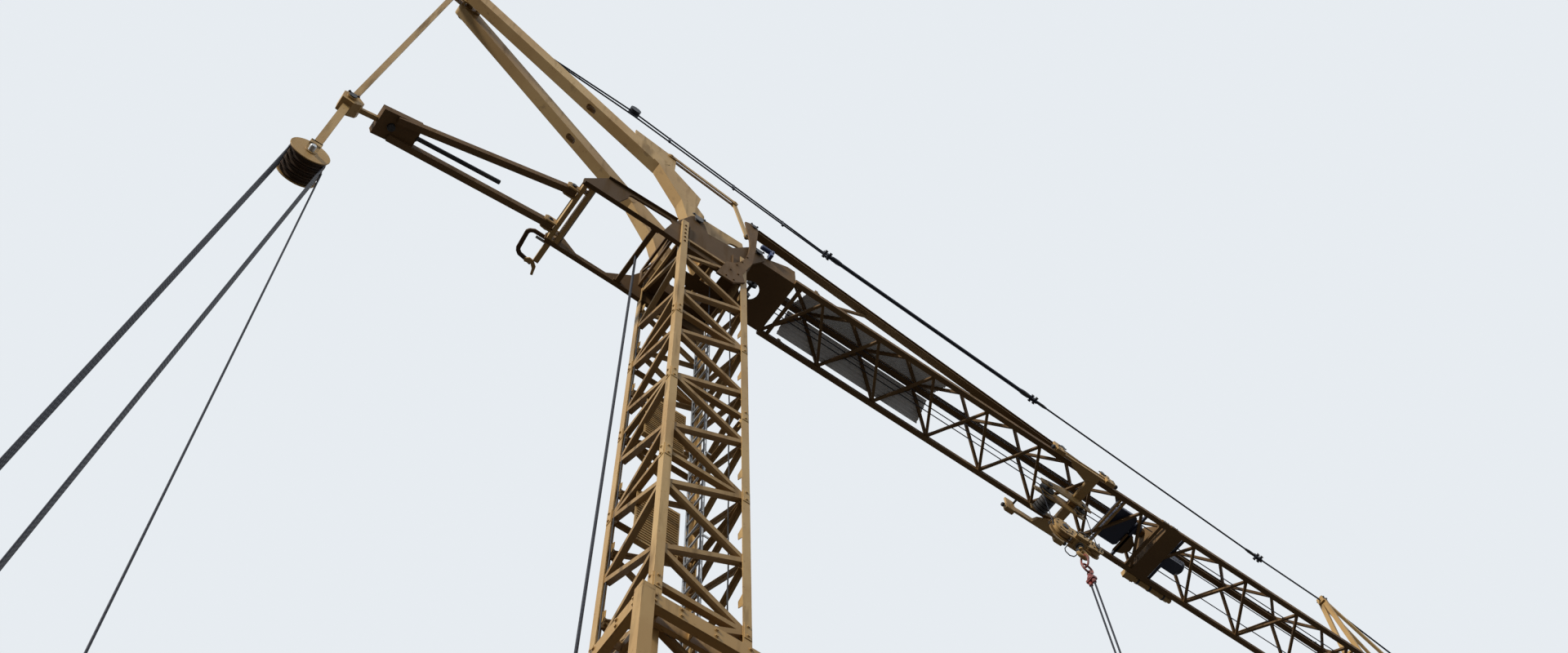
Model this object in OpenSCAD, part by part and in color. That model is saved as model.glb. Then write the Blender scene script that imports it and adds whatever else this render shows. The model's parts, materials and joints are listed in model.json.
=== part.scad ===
// Self-erecting tower crane: telescopic lattice mast on a slewing platform, folding three-chord jib.
// Frame: origin on the slewing axis at ground level, +X along the jib, +Y its left side, +Z up, millimetres.

/* [Upper mast] */
// Outer width of the upper mast
mast_w = 1200; // [1000:10:1300]
// Leg width of the upper mast's corner angles
post_leg = 110; // [100:5:140]
// Thickness of the corner angles
post_t = 12; // [10:1:16]
// Rise of one lacing bar
bar_rise = 680; // [600:10:760]
// Width of the mast lacing bars
lace_w = 76; // [50:2:90]
// Thickness of the mast lacing bars
lace_t = 40; // [20:2:44]
// Height of the topmost lacing node over the ground
mast_node_z = 24980; // [24000:20:26000]
// Height of the upper mast's posts above that node
post_over = 680; // [400:10:900]

/* [Lower mast] */
// Outer width of the lower mast
base_mast_w = 1730; // [1600:10:1900]
// Leg width of the lower mast's corner angles
base_leg = 150; // [120:5:180]
// Thickness of the lower mast's corner angles
base_t = 16; // [12:1:20]
// Height of the lower mast's top over the ground
base_top_z = 14800; // [14000:20:16000]
// Rise of one lacing bar of the lower mast
base_rise = 980; // [850:10:1100]
// Height of the collar beams at the lower mast's top
collar_h = 200; // [120:10:260]

/* [Undercarriage] */
// Distance from the slewing axis to each foot along X and Y
foot_reach = 2600; // [2200:20:3000]
// Side of a foot pad
pad_w = 800; // [500:10:1000]
// Thickness of a foot pad
pad_t = 60; // [40:5:90]
// Underside of the chassis over the ground
chassis_z = 560; // [450:10:700]
// Depth of the chassis beams
chassis_h = 380; // [280:10:450]
// Side of the chassis' middle frame
chassis_w = 2300; // [2100:20:2500]
// Width of an outrigger arm
arm_w = 320; // [240:10:380]
// Radius of the slewing ring
ring_r = 860; // [780:10:920]
// Height of the slewing ring
ring_h = 180; // [140:10:240]

/* [Platform] */
// Depth of the slewing platform's beams
deck_h = 320; // [240:10:400]
// Width of the slewing platform
deck_w = 2300; // [2200:20:2500]
// Length of the platform in front of the slewing axis
deck_front = 1250; // [1100:10:1500]
// Length of the platform behind the slewing axis
deck_rear = 6500; // [6200:20:6900]
// Thickness of one ballast block
ballast_t = 300; // [240:10:360]
// Number of ballast blocks in a row
ballast_n = 6; // [3:1:7]
// Height of the ballast blocks
ballast_h = 1500; // [1000:20:1900]

/* [Head] */
// Thickness of the head's side plates
head_t = 30; // [20:1:40]
// Height of the A-frame's foot pivots over the ground
foot_z = 26150; // [26050:10:26300]
// Height of the A-frame's top over the ground
apex_z = 31200; // [30600:20:31800]
// Distance of the A-frame's top behind the slewing axis
apex_x = 5050; // [4800:10:5300]

/* [Jib] */
// Underside of the jib's bottom chords over the ground
jib_z = 26250; // [26000:10:26400]
// Half width of the jib over its bottom chords
jib_hw = 570; // [560:5:640]
// Side of a bottom chord
chord_w = 90; // [70:2:100]
// Height of the top chord's centre above the bottom chords' underside
jib_h = 530; // [480:5:800]
// Side of the top chord
top_w = 100; // [80:2:110]
// Start of the jib's chords in front of the slewing axis
jib_x0 = 1660; // [1640:5:1720]
// Joint between the inner and the middle jib section
fold_x = 9760; // [9400:20:10200]
// Joint between the middle and the outer jib section
fold2_x = 19800; // [19000:50:20500]
// End of the outer section's chords
jib_x1 = 29400; // [28000:50:30500]
// Length of one jib bay
bay = 1200; // [1000:20:1400]
// Width of the jib's lacing bars
jib_bar = 46; // [36:2:60]

/* [Trolley and hook] */
// Place of the trolley's centre along the jib
trolley_x = 7700; // [7400:10:8000]
// Length of the trolley's side frames
trolley_l = 1250; // [1100:10:1400]
// Radius of the trolley's wheels
wheel_r = 55; // [45:1:65]
// Depth of the hook block's centre under the jib
hook_drop = 1570; // [1400:10:1900]
// Length of the hook block
block_l = 1080; // [900:10:1200]

/* [Hidden] */

// Finish colours
OCHRE = "#b08a4a";
BROWN = "#6a4a2a";
ROPE = "#20242e";
ZINC = "#9a9da0";
DARK = "#2c2e34";
RED = "#a03024";
STONE = "#a8a49a";

// Derived sizes
mast_h = mast_w / 2;
base_h = base_mast_w / 2;
chassis_top = chassis_z + chassis_h;
deck_z = chassis_top + ring_h;
deck_top = deck_z + deck_h;
module_bars = [4, 3, 3, 4, 3];
function sum_to(list, n) = n == 0 ? 0 : list[n - 1] + sum_to(list, n - 1);
mast_bars = sum_to(module_bars, len(module_bars));
mast_low_z = mast_node_z - mast_bars * bar_rise;
post_low_z = mast_low_z - 120;
base_bars = floor((base_top_z - collar_h - deck_top - 100) / base_rise);
base_pitch = (base_top_z - collar_h - deck_top - 100) / base_bars;
plate_y = mast_h - post_t - lace_t;
chord_top = jib_z + chord_w;
top_low = jib_z + jib_h - top_w / 2;
fit = 0.3;
wheel_w = 40;
wheel_z = chord_top + wheel_r + fit;
frame_y = jib_hw + 45;
fall_x = block_l / 2 - 50;
fall_r = 8;
block_sheave_r = 170;
trolley_sheave_r = 140;
trolley_sheave_z = jib_z - 255;
guide_sheave_z = jib_z - 170;
small_sheave_r = 100;
stem_r = 35;
side_y0 = jib_hw - 80;
side_rise = top_low - chord_top;
side_slope = atan2(side_rise, side_y0 - 40);
side_slant = norm([side_rise, side_y0 - 40]);
hoist_x = -2900;
guy_winch_x = -1750;
tail_x = -deck_rear + 330;
tail_sheave_r = 240;
tail_sheave_z = 380;
guy_x = -5710;
guy_block_z = 21050;
guy_sheave_r = 220;
guy_rope_r = 12;
guy_pitch = 84;
mast_rope_x = -1030;
head_low_z = mast_node_z - 340;
foot_x = -300;
knee_x = foot_x - 700;
knee_z = foot_z + 1700;
hinge_x = -2200;
fork_y = 320;
fork_end_x = -5100;
fork_end_z = head_low_z - 900;
fork_tilt = -20;
pivot_x = 880;
pivot_z = jib_z + 200;
horn_x = 750;
horn_z = jib_z + 1030;
strut_pin_r = 30;
link_y = 420;
link_x = knee_x + 150;
link_z = knee_z + 880;
rocker_y = 200;
foot_pin_r = 60;
root_pin_r = 45;
apex_half = 60;
king_x = 15450;
king_z = jib_z + 3230;
hook_z = jib_z - hook_drop;
far_y = jib_hw + 130;
drive_x = fold_x - 900;
ladder_x = 400;
ladder_y = 300;
ladder_w = 360;

// A square bar from one point to another
module bar(a, b, w, h) {
    d = b - a;
    len_xy = norm([d[0], d[1]]);
    translate(a) rotate([0, atan2(len_xy, d[2]), atan2(d[1], d[0])])
        translate([-h / 2, -w / 2, 0]) cube([h, w, norm(d)]);
}

// A round bar from one point to another
module rod(a, b, r, sides = 8) {
    d = b - a;
    len_xy = norm([d[0], d[1]]);
    translate(a) rotate([0, atan2(len_xy, d[2]), atan2(d[1], d[0])]) cylinder(r = r, h = norm(d), $fn = sides);
}

// A flat strip in a plane from one point to another
module strip(a, b, w) {
    d = b - a;
    translate(a) rotate(atan2(d[1], d[0])) translate([-w, -w / 2]) square([norm(d) + 2 * w, w]);
}

// Extrudes an outline drawn in X and Z across Y, between two places
module across(y0, y1) {
    translate([0, y1, 0]) rotate([90, 0, 0]) linear_extrude(y1 - y0) children();
}

// Extrudes an outline drawn in Y and Z along X, between two places
module along(x0, x1) {
    translate([x0, 0, 0]) rotate([90, 0, 90]) linear_extrude(x1 - x0) children();
}

module mirror_y() {
    children();
    mirror([0, 1, 0]) children();
}

// Four corner angles of a square mast
module corner_angles(half, leg, t, z0, z1) {
    for (sx = [-1, 1], sy = [-1, 1])
        scale([1, 1, 1]) mirror([sx < 0 ? 1 : 0, 0, 0]) mirror([0, sy < 0 ? 1 : 0, 0])
            translate([0, 0, z0]) linear_extrude(z1 - z0) polygon([
                [half, half], [half - leg, half], [half - leg, half - t],
                [half - t, half - t], [half - t, half - leg], [half, half - leg]
            ]);
}

// Outline of one lattice face: a zigzag of bars, with level bars at the listed heights
module face_outline(half, z0, rise, n, levels, w, trim, first = 1) {
    intersection() {
        translate([-trim, z0 - w]) square([2 * trim, n * rise + 2 * w]);
        union() {
            for (i = [0:n - 1]) {
                s = (i % 2 == 0 ? 1 : -1) * first;
                strip([-s * half, z0 + i * rise], [s * half, z0 + (i + 1) * rise], w);
            }
            for (z = levels) translate([-half, z - w / 2]) square([2 * half, w]);
        }
    }
}

upper_levels = [for (i = [0:len(module_bars)]) mast_node_z - sum_to(module_bars, i) * bar_rise];
base_z0 = deck_top + 100;
base_levels = [for (i = [0:4:base_bars]) base_z0 + i * base_pitch];

// Undercarriage
module chassis_frame() {
    color(OCHRE) difference() {
        translate([-chassis_w / 2, -chassis_w / 2, chassis_z]) cube([chassis_w, chassis_w, chassis_h]);
        translate([0, 0, chassis_z - 1]) cylinder(r = ring_r - 160, h = chassis_h + 2, $fn = 48);
        for (q = [0:3]) rotate(45 + 90 * q)
            translate([ring_r + 120, -arm_w / 2, chassis_z + 40]) cube([chassis_w, arm_w, chassis_h - 80]);
    }
}

module outrigger_arms() {
    reach = foot_reach * sqrt(2);
    color(OCHRE) for (q = [0:3]) rotate(45 + 90 * q) difference() {
        translate([ring_r + 120, -arm_w / 2, chassis_z + 40])
            cube([reach - ring_r - 120 + 180, arm_w, chassis_h - 80]);
        translate([reach, 0, chassis_z]) cylinder(r = 70, h = chassis_h, $fn = 32);
    }
}

module outrigger_jacks() {
    color(ZINC) for (sx = [-1, 1], sy = [-1, 1]) translate([sx * foot_reach, sy * foot_reach, pad_t + 60])
        cylinder(r = 69.7, h = chassis_top + 140 - pad_t - 60, $fn = 32);
}

module foot_pads() {
    color(DARK) for (sx = [-1, 1], sy = [-1, 1]) translate([sx * foot_reach, sy * foot_reach, 0]) {
        translate([-pad_w / 2, -pad_w / 2, 0]) cube([pad_w, pad_w, pad_t]);
        translate([0, 0, pad_t]) cylinder(r = 150, h = 60, $fn = 32);
    }
}

module slew_ring_lower() {
    color(DARK) translate([0, 0, chassis_top]) difference() {
        cylinder(r = ring_r, h = ring_h / 2 - 5, $fn = 64);
        translate([0, 0, -1]) cylinder(r = ring_r - 130, h = ring_h, $fn = 64);
    }
}

// Slewing part
module slew_ring_upper() {
    spigot = 60;
    color(DARK) translate([0, 0, chassis_top + ring_h / 2]) difference() {
        union() {
            cylinder(r = ring_r - 20, h = ring_h / 2, $fn = 64);
            translate([0, 0, -spigot]) cylinder(r = ring_r - 130 - fit, h = spigot + 10, $fn = 64);
        }
        translate([0, 0, -spigot - 1]) cylinder(r = ring_r - 190, h = ring_h, $fn = 64);
    }
}

module platform_frame() {
    beam = 260;
    color(OCHRE) translate([0, 0, deck_z]) {
        for (y = [-deck_w / 2, deck_w / 2 - beam])
            translate([-deck_rear, y, 0]) cube([deck_rear + deck_front, beam, deck_h]);
        for (x = [-deck_rear, -deck_rear + 200, -4100, hoist_x - 300, hoist_x + 40])
            translate([x, -deck_w / 2, 0]) cube([beam, deck_w, deck_h]);
        translate([guy_winch_x - 300, -deck_w / 2, 0]) cube([deck_front - guy_winch_x + 300, deck_w, deck_h]);
    }
}

module ballast_blocks() {
    color(STONE) for (i = [0:ballast_n - 1])
        translate([-deck_rear + 700 + i * (ballast_t + 12), -deck_w / 2 - 80, deck_top])
            cube([ballast_t, deck_w + 160, ballast_h]);
}

module winch(x, drum_r, drum_l) {
    shaft_r = 60;
    cheek = 60;
    z = drum_r + 160;
    translate([x, 0, deck_top]) {
        for (s = [-1, 1]) difference() {
            translate([-drum_r - 80, s * (drum_l + cheek) / 2 - cheek / 2, 0])
                cube([2 * drum_r + 160, cheek, drum_r + 420]);
            translate([0, s * (drum_l + cheek) / 2 + cheek, z]) rotate([90, 0, 0])
                cylinder(r = shaft_r, h = 2 * cheek, $fn = 32);
        }
        translate([0, drum_l / 2 + cheek, z]) rotate([90, 0, 0])
            cylinder(r = shaft_r - fit, h = drum_l + 2 * cheek, $fn = 32);
        translate([0, drum_l / 2 - 20, z]) rotate([90, 0, 0]) cylinder(r = drum_r - 60, h = drum_l - 40, $fn = 40);
        for (s = [-1, 1]) translate([0, s * (drum_l / 2 - 22) + 12, z]) rotate([90, 0, 0])
            cylinder(r = drum_r, h = 24, $fn = 40);
    }
}

module hoist_winch() {
    color(DARK) winch(hoist_x, 300, 1000);
}

module guy_winch() {
    color(DARK) winch(guy_winch_x, 240, 800);
}

module control_cabinet() {
    color(OCHRE) translate([-1500, deck_w / 2 + 0, deck_z]) cube([1500, 420, 1500]);
}

// Grooved rope sheaves on one pin, with flanges between the grooves
module guy_sheave_set(r, cheek_y, pin_r) {
    rim = 34;
    for (i = [-1.5:1:1.5]) translate([0, i * guy_pitch + guy_pitch / 2 - 6, 0]) rotate([90, 0, 0]) difference() {
        cylinder(r = r + rim, h = guy_pitch - 12, $fn = 40);
        rotate_extrude($fn = 40) polygon([
            [r, guy_pitch / 2 - 6 - 14], [r + rim + 1, guy_pitch / 2 - 6 - 30], [r + rim + 1, guy_pitch / 2 - 6 + 30],
            [r, guy_pitch / 2 - 6 + 14]
        ]);
    }
    translate([0, cheek_y, 0]) rotate([90, 0, 0]) cylinder(r = pin_r, h = 2 * cheek_y, $fn = 24);
    translate([0, 1.5 * guy_pitch, 0]) rotate([90, 0, 0]) cylinder(r = r / 2, h = 3 * guy_pitch, $fn = 32);
}

module tail_sheaves() {
    cheek = 24;
    y = 2 * guy_pitch + 8;
    color(DARK) translate([tail_x, 0, deck_top]) {
        mirror_y() across(y, y + cheek) polygon([
            [-300, 0], [-110, tail_sheave_z + 90], [110, tail_sheave_z + 90], [300, 0]
        ]);
        translate([0, 0, tail_sheave_z]) guy_sheave_set(tail_sheave_r, y + cheek + 30, 45);
    }
}

module lower_mast_posts() {
    color(OCHRE) corner_angles(base_h, base_leg, base_t, deck_top, base_top_z);
}

module lower_face() {
    intersection() {
        face_outline(base_h - base_leg / 2, base_z0, base_pitch, base_bars, base_levels, 70, base_h - 80);
        translate([-base_h, deck_top]) square([base_mast_w, base_top_z - collar_h - deck_top]);
    }
}

module lower_mast_side_faces() {
    color(OCHRE) for (s = [-1, 1]) mirror([0, s > 0 ? 1 : 0, 0])
        across(-base_h + base_t, -base_h + base_t + 50) lower_face();
}

module lower_mast_end_faces() {
    color(OCHRE) for (s = [-1, 1]) mirror([s > 0 ? 1 : 0, 0, 0])
        along(-base_h + base_t, -base_h + base_t + 50) lower_face();
}

module lower_mast_collar() {
    inner = mast_h + 4;
    outer = base_h - base_t;
    color(OCHRE) translate([0, 0, base_top_z - collar_h]) difference() {
        translate([-outer, -outer, 0]) cube([2 * outer, 2 * outer, collar_h]);
        translate([-inner, -inner, -1]) cube([2 * inner, 2 * inner, collar_h + 2]);
    }
}

module upper_mast_posts() {
    slot = 1;
    color(OCHRE) difference() {
        corner_angles(mast_h, post_leg, post_t, post_low_z, mast_node_z + post_over);
        mirror_y() translate([-mast_w, plate_y - head_t - slot, head_low_z - 20])
            cube([2 * mast_w, head_t + 2 * slot, 3000]);
    }
}

module upper_face(first) {
    intersection() {
        face_outline(mast_h - post_leg / 2, mast_low_z, bar_rise, mast_bars, upper_levels, lace_w, plate_y - 38, first);
        translate([-mast_h, 0]) square([mast_w, mast_node_z + lace_w / 2]);
    }
}

module upper_mast_side_faces() {
    trim = mast_h - post_t - lace_t - 10;
    color(OCHRE) mirror_y() across(-mast_h + post_t, -mast_h + post_t + lace_t)
        face_outline(mast_h - post_leg / 2, mast_low_z, bar_rise, mast_bars, upper_levels, lace_w, trim);
}

module upper_mast_rear_face() {
    color(OCHRE) along(-mast_h + post_t, -mast_h + post_t + lace_t) upper_face(1);
}

module upper_mast_front_face() {
    color(OCHRE) along(mast_h - post_t - lace_t, mast_h - post_t) upper_face(-1);
}

// Two plates that stand in the mast's middle plane on its rear half, with an angle under each
module mast_inner_plates() {
    inner = mast_h - post_t - lace_t;
    plate = 12;
    flange = 70;
    rise = 1050;
    color(OCHRE) for (z = [upper_levels[3] - rise, upper_levels[2] - 620]) translate([-inner, 30, z]) {
        cube([inner + 50, plate, rise]);
        cube([inner + 120, flange, plate]);
        for (x = [150, 420]) translate([x, plate, 0]) cube([30, 30, rise]);
    }
}

module mast_ladder() {
    rail = 40;
    top = mast_node_z - 800;
    color(ZINC) {
        for (y = [ladder_y - ladder_w / 2, ladder_y + ladder_w / 2 - 24]) {
            translate([ladder_x, y, deck_top]) cube([rail, 24, top - deck_top]);
            for (i = [1:len(upper_levels) - 2]) translate([ladder_x + rail, y, upper_levels[i] - 15])
                cube([mast_h - post_t - lace_t - ladder_x - rail, 24, 30]);
        }
        for (z = [deck_top + 300:300:top - 100])
            translate([ladder_x + rail / 2, ladder_y - ladder_w / 2 + 24, z]) rotate([-90, 0, 0])
                cylinder(r = 12, h = ladder_w - 48, $fn = 6);
    }
}

// Side outline of the head in X and Z: rear arm, plate over the mast and the lugs on its top
module head_profile() {
    arm_low = head_low_z + 30;
    arm_top = head_low_z + 860;
    difference() {
        polygon([
            [hinge_x - 120, arm_low], [hinge_x - 120, arm_low + 200], [hinge_x + 260, arm_top],
            [foot_x - 370, arm_top + 90], [foot_x - 130, foot_z + 40], [foot_x - 80, foot_z + 115],
            [foot_x + 80, foot_z + 115], [foot_x + 130, foot_z + 40], [foot_x + 200, arm_top + 380],
            [pivot_x - 500, arm_top + 480], [pivot_x - 140, pivot_z + 100], [pivot_x - 70, pivot_z + 130],
            [pivot_x + 70, pivot_z + 130], [pivot_x + 130, pivot_z + 50], [pivot_x + 130, pivot_z - 130],
            [pivot_x - 120, pivot_z - 620], [mast_h - 80, head_low_z], [-mast_h - 40, head_low_z],
            [-mast_h - 380, arm_low]
        ]);
        arm_window(head_low_z + 170, head_low_z + 760);
        translate([pivot_x, pivot_z]) circle(r = root_pin_r, $fn = 32);
        translate([foot_x, foot_z]) circle(r = foot_pin_r, $fn = 32);
    }
}

module head_side_plates() {
    color(BROWN) mirror_y() across(plate_y - head_t, plate_y) head_profile();
}

module head_cross_plates() {
    w = plate_y - head_t;
    floor_z = mast_node_z + 80;
    color(BROWN) {
        translate([foot_x - 370, -w, floor_z]) cube([40, 2 * w, 590]);
        translate([mast_h - 100, -w, floor_z]) cube([40, 2 * w, 560]);
        translate([-mast_h + 60, -w, floor_z]) cube([mast_w - 120, 2 * w, 30]);
        translate([mast_rope_x - 80, -w, head_low_z + 60]) cube([160, 2 * w, 60]);
    }
}

module rear_hinge_beam() {
    w = plate_y - head_t;
    color(OCHRE) {
        translate([hinge_x - 90, -w, head_low_z + 40]) cube([70, 2 * w, 190]);
        translate([hinge_x + 30, -w, head_low_z + 40]) cube([70, 2 * w, 190]);
        for (y = [-w, -fork_y - 90, fork_y + 70, w - 20])
            translate([hinge_x - 30, y, head_low_z + 40]) cube([70, 20, 190]);
        difference() {
            for (s = [-1, 1], side = [-72, 66])
                translate([hinge_x - 290, s * (fork_y + side) - 12, head_low_z - 10]) cube([210, 24, 190]);
            translate([hinge_x - 190, 600, head_low_z + 85]) rotate([90, 0, 0])
                cylinder(r = strut_pin_r, h = 1200, $fn = 24);
        }
        translate([hinge_x - 60, plate_y, head_low_z + 90]) cube([90, 420, 70]);
    }
    hinge_guard();
}

// Two arms that run together in an end plate, with the guy link's pin
module fork_strut() {
    arm_h = 130;
    a = hinge_x - 190;
    b = fork_end_x + 60;
    color(BROWN) difference() {
        union() {
            for (s = [-1, 1]) {
                bar([a, s * fork_y, head_low_z + 85], [b, s * 150, fork_end_z + 20], 100, arm_h);
                translate([a, s * fork_y + 50, head_low_z + 85]) rotate([90, 0, 0]) cylinder(r = 90, h = 100, $fn = 32);
            }
            translate([fork_end_x - 180, 0, fork_end_z]) rotate([0, fork_tilt, 0])
                translate([0, -210, -70]) cube([620, 420, 140]);
        }
        translate([fork_end_x, 0, fork_end_z]) rotate([0, fork_tilt, 0]) translate([40, 0, -200])
            cylinder(r = 62, h = 400, $fn = 32);
        translate([a, 600, head_low_z + 85]) rotate([90, 0, 0]) cylinder(r = strut_pin_r, h = 1200, $fn = 24);
    }
    color(DARK) bar([fork_end_x + 400, 0, fork_end_z + 175], [fork_end_x + 1750, 60, fork_end_z + 640], 50, 50);
}

// The left leg of the rear A-frame, with its flared foot
module frame_leg() {
    leg_w = 200;
    leg_h = 330;
    y = plate_y - head_t - leg_w / 2 - 1;
    knee = [knee_x, y, knee_z];
    top = [-apex_x, apex_half + leg_w / 2, apex_z];
    run = atan2(top[2] - knee[2], knee[0] - top[0]);
    up = [leg_h / 2 * sin(run), leg_h / 2 * cos(run)];
    difference() {
        union() {
            across(y - leg_w / 2, y + leg_w / 2) polygon([
                [knee_x + up[0], knee_z + up[1]], [foot_x + 50, foot_z + 1180], [foot_x - 10, foot_z + 700],
                [foot_x + 130, foot_z + 480], [foot_x + 150, foot_z], [foot_x + 90, foot_z - 110],
                [foot_x - 90, foot_z - 130], [foot_x - 170, foot_z - 60], [foot_x - 320, foot_z + 600],
                [knee_x - up[0], knee_z - up[1]], [knee_x - 100 - up[0], knee_z + 83 - up[1]],
                [knee_x - 100 + up[0], knee_z + 83 + up[1]]
            ]);
            bar(knee, top, leg_w, leg_h);
            translate([-apex_x, apex_half + leg_w, apex_z]) rotate([90, 0, 0])
                cylinder(r = leg_h / 2, h = leg_w - 8, $fn = 40);
        }
        translate([foot_x, plate_y, foot_z]) rotate([90, 0, 0]) cylinder(r = foot_pin_r, h = 400, $fn = 32);
        translate([-apex_x, 500, apex_z]) rotate([90, 0, 0]) cylinder(r = foot_pin_r, h = 500, $fn = 32);
        translate([-apex_x - 600, apex_half - 400, apex_z - 600]) cube([1200, 400, 1200]);
        leg_opening(knee, top, leg_w, leg_h);
    }
}

module frame_near_leg() {
    color(OCHRE) mirror([0, 1, 0]) {
        frame_leg();
        difference() {
            across(link_y - 15, link_y + 15) polygon([
                [knee_x - 560, knee_z + 520], [knee_x - 590, knee_z + 1080], [knee_x + 260, knee_z + 920],
                [knee_x + 240, knee_z - 40], [knee_x, knee_z]
            ]);
            translate([link_x, link_y + 30, link_z]) rotate([90, 0, 0]) cylinder(r = 26, h = 60, $fn = 24);
        }
    }
}

module frame_far_leg() {
    color(OCHRE) frame_leg();
}

// Brackets over and under the apex for the tie line and the guy link
module apex_head() {
    color(OCHRE) {
        mirror_y() across(apex_half - 24, apex_half) polygon([
            [-apex_x - 420, apex_z - 60], [-apex_x - 380, apex_z + 190], [-apex_x - 120, apex_z + 230],
            [-apex_x + 230, apex_z + 110], [-apex_x + 230, apex_z - 70], [-apex_x - 120, apex_z - 180]
        ]);
        translate([-apex_x - 130, -apex_half, apex_z - 150]) cube([40, 2 * apex_half, 300]);
    }
    color(DARK) {
        translate([-apex_x, 290, apex_z]) rotate([90, 0, 0]) cylinder(r = foot_pin_r - fit, h = 580, $fn = 32);
        for (x = [-apex_x - 330, -apex_x + 160]) translate([x, apex_half, apex_z + 30]) rotate([90, 0, 0])
            cylinder(r = 28, h = 2 * apex_half, $fn = 24);
    }
}

// Guy link, the joint with the fork's pull rod, and the bar down to the sheave block
module guy_links() {
    link_w = 56;
    link_h = 90;
    joint_z = fork_end_z - 130;
    top_pin = [-apex_x - 330, apex_z + 30];
    color(OCHRE) {
        across(-link_w / 2, link_w / 2) difference() {
            union() {
                link_strip(top_pin, [guy_x, joint_z], link_h);
                translate(top_pin) circle(r = 70, $fn = 32);
            }
            translate(top_pin) circle(r = 28 + fit, $fn = 24);
        }
        across(-110, 110) polygon([
            [guy_x - 110, joint_z - 130], [guy_x - 130, joint_z + 90], [guy_x - 50, joint_z + 170],
            [guy_x + 70, joint_z + 170], [guy_x + 190, joint_z + 40], [guy_x + 170, joint_z - 60],
            [guy_x + 60, joint_z - 150]
        ]);
        translate([guy_x, 140, joint_z]) rotate([90, 0, 0]) cylinder(r = 75, h = 280, $fn = 32);
        across(-34, 34) {
            translate([fork_end_x - 180, fork_end_z]) rotate(-fork_tilt) translate([-420, -32]) square([420 - fit, 64]);
            translate([guy_x - 55, guy_block_z + 370]) square([110, joint_z - guy_block_z - 370]);
        }
    }
}

// The guy tackle's upper block
module guy_sheave_block() {
    cheek = 16;
    y = 2 * guy_pitch + 8;
    color(DARK) translate([guy_x, 0, guy_block_z]) {
        guy_sheave_set(guy_sheave_r, y + cheek + 90, 42);
    }
    color(OCHRE) translate([guy_x, 0, guy_block_z]) {
        mirror_y() across(y, y + cheek) difference() {
            union() {
                circle(r = guy_sheave_r + 46, $fn = 48);
                translate([-80, 0]) square([160, 370]);
            }
            circle(r = 42 + fit, $fn = 24);
        }
        translate([-80, -y - cheek, 370 - 40]) cube([160, 2 * (y + cheek), 40]);
    }
}

module guy_rope_falls() {
    top_off = guy_sheave_r + guy_rope_r + fit;
    low_off = tail_sheave_r + guy_rope_r + fit;
    color(ROPE) for (i = [-1.5:1:1.5], s = [-1, 1])
        rod([guy_x + s * top_off, i * guy_pitch, guy_block_z],
            [tail_x + s * low_off, i * guy_pitch, deck_top + tail_sheave_z], guy_rope_r, 6);
}

module mast_rope() {
    color(ROPE) rod([mast_rope_x, 0, deck_top], [mast_rope_x, 0, head_low_z + 60], 20, 8);
}

// Jib
module chord_run(x0, x1) {
    mirror_y() translate([x0, jib_hw - chord_w, jib_z]) cube([x1 - x0, chord_w, chord_w]);
    translate([x0, -top_w / 2, top_low]) cube([x1 - x0, top_w, top_w]);
}

module bottom_lacing(x0, x1) {
    n = round((x1 - x0) / bay);
    pitch = (x1 - x0) / n;
    w = jib_hw - chord_w;
    translate([0, 0, jib_z + 20]) linear_extrude(jib_bar) intersection() {
        translate([x0, -w]) square([x1 - x0, 2 * w]);
        union() {
            for (i = [0:n - 1]) {
                strip([x0 + i * pitch, w], [x0 + (i + 0.5) * pitch, -w], jib_bar);
                strip([x0 + (i + 0.5) * pitch, -w], [x0 + (i + 1) * pitch, w], jib_bar);
            }
            for (x = [x0 + 90, x1 - 150]) translate([x, -w]) square([60, 2 * w]);
        }
    }
}

module side_lacing(x0, x1) {
    n = round((x1 - x0) / bay);
    pitch = (x1 - x0) / n;
    intersection() {
        translate([x0, 0, chord_top]) cube([x1 - x0, jib_hw, side_rise]);
        translate([0, side_y0, chord_top]) rotate([180 - side_slope, 0, 0]) translate([0, 0, -jib_bar / 2])
            linear_extrude(jib_bar) for (i = [0:n - 1]) {
                strip([x0 + i * pitch, 0], [x0 + (i + 0.5) * pitch, side_slant], jib_bar);
                strip([x0 + (i + 0.5) * pitch, side_slant], [x0 + (i + 1) * pitch, 0], jib_bar);
            }
    }
}

module lacing(x0, x1) {
    bottom_lacing(x0, x1);
    mirror_y() side_lacing(x0, x1);
}

module inner_jib_chords() {
    color(BROWN) chord_run(jib_x0, fold_x);
}

module inner_jib_lacing() {
    color(BROWN) lacing(jib_x0, fold_x);
}

module middle_jib_chords() {
    color(BROWN) chord_run(fold_x + 30, fold2_x);
}

module middle_jib_lacing() {
    color(BROWN) lacing(fold_x + 30, fold2_x);
}

module outer_jib_chords() {
    color(BROWN) chord_run(fold2_x + 30, jib_x1);
}

module outer_jib_lacing() {
    color(BROWN) lacing(fold2_x + 30, jib_x1);
}

module pivot_pins() {
    color(ZINC) {
        mirror_y() {
            translate([pivot_x, plate_y + 30, pivot_z]) rotate([90, 0, 0])
                cylinder(r = root_pin_r - fit, h = head_t + 90, $fn = 32);
            translate([foot_x, plate_y + 30, foot_z]) rotate([90, 0, 0])
                cylinder(r = foot_pin_r - fit, h = head_t + 240, $fn = 32);
        }
        translate([horn_x, -link_y + 40, horn_z]) rotate([90, 0, 0])
            cylinder(r = strut_pin_r - fit, h = mast_h + 80 - link_y, $fn = 24);
        for (s = [-1, 1]) translate([hinge_x - 190, s * fork_y + 90, head_low_z + 85]) rotate([90, 0, 0])
            cylinder(r = strut_pin_r - fit, h = 180, $fn = 24);
    }
}

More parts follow.
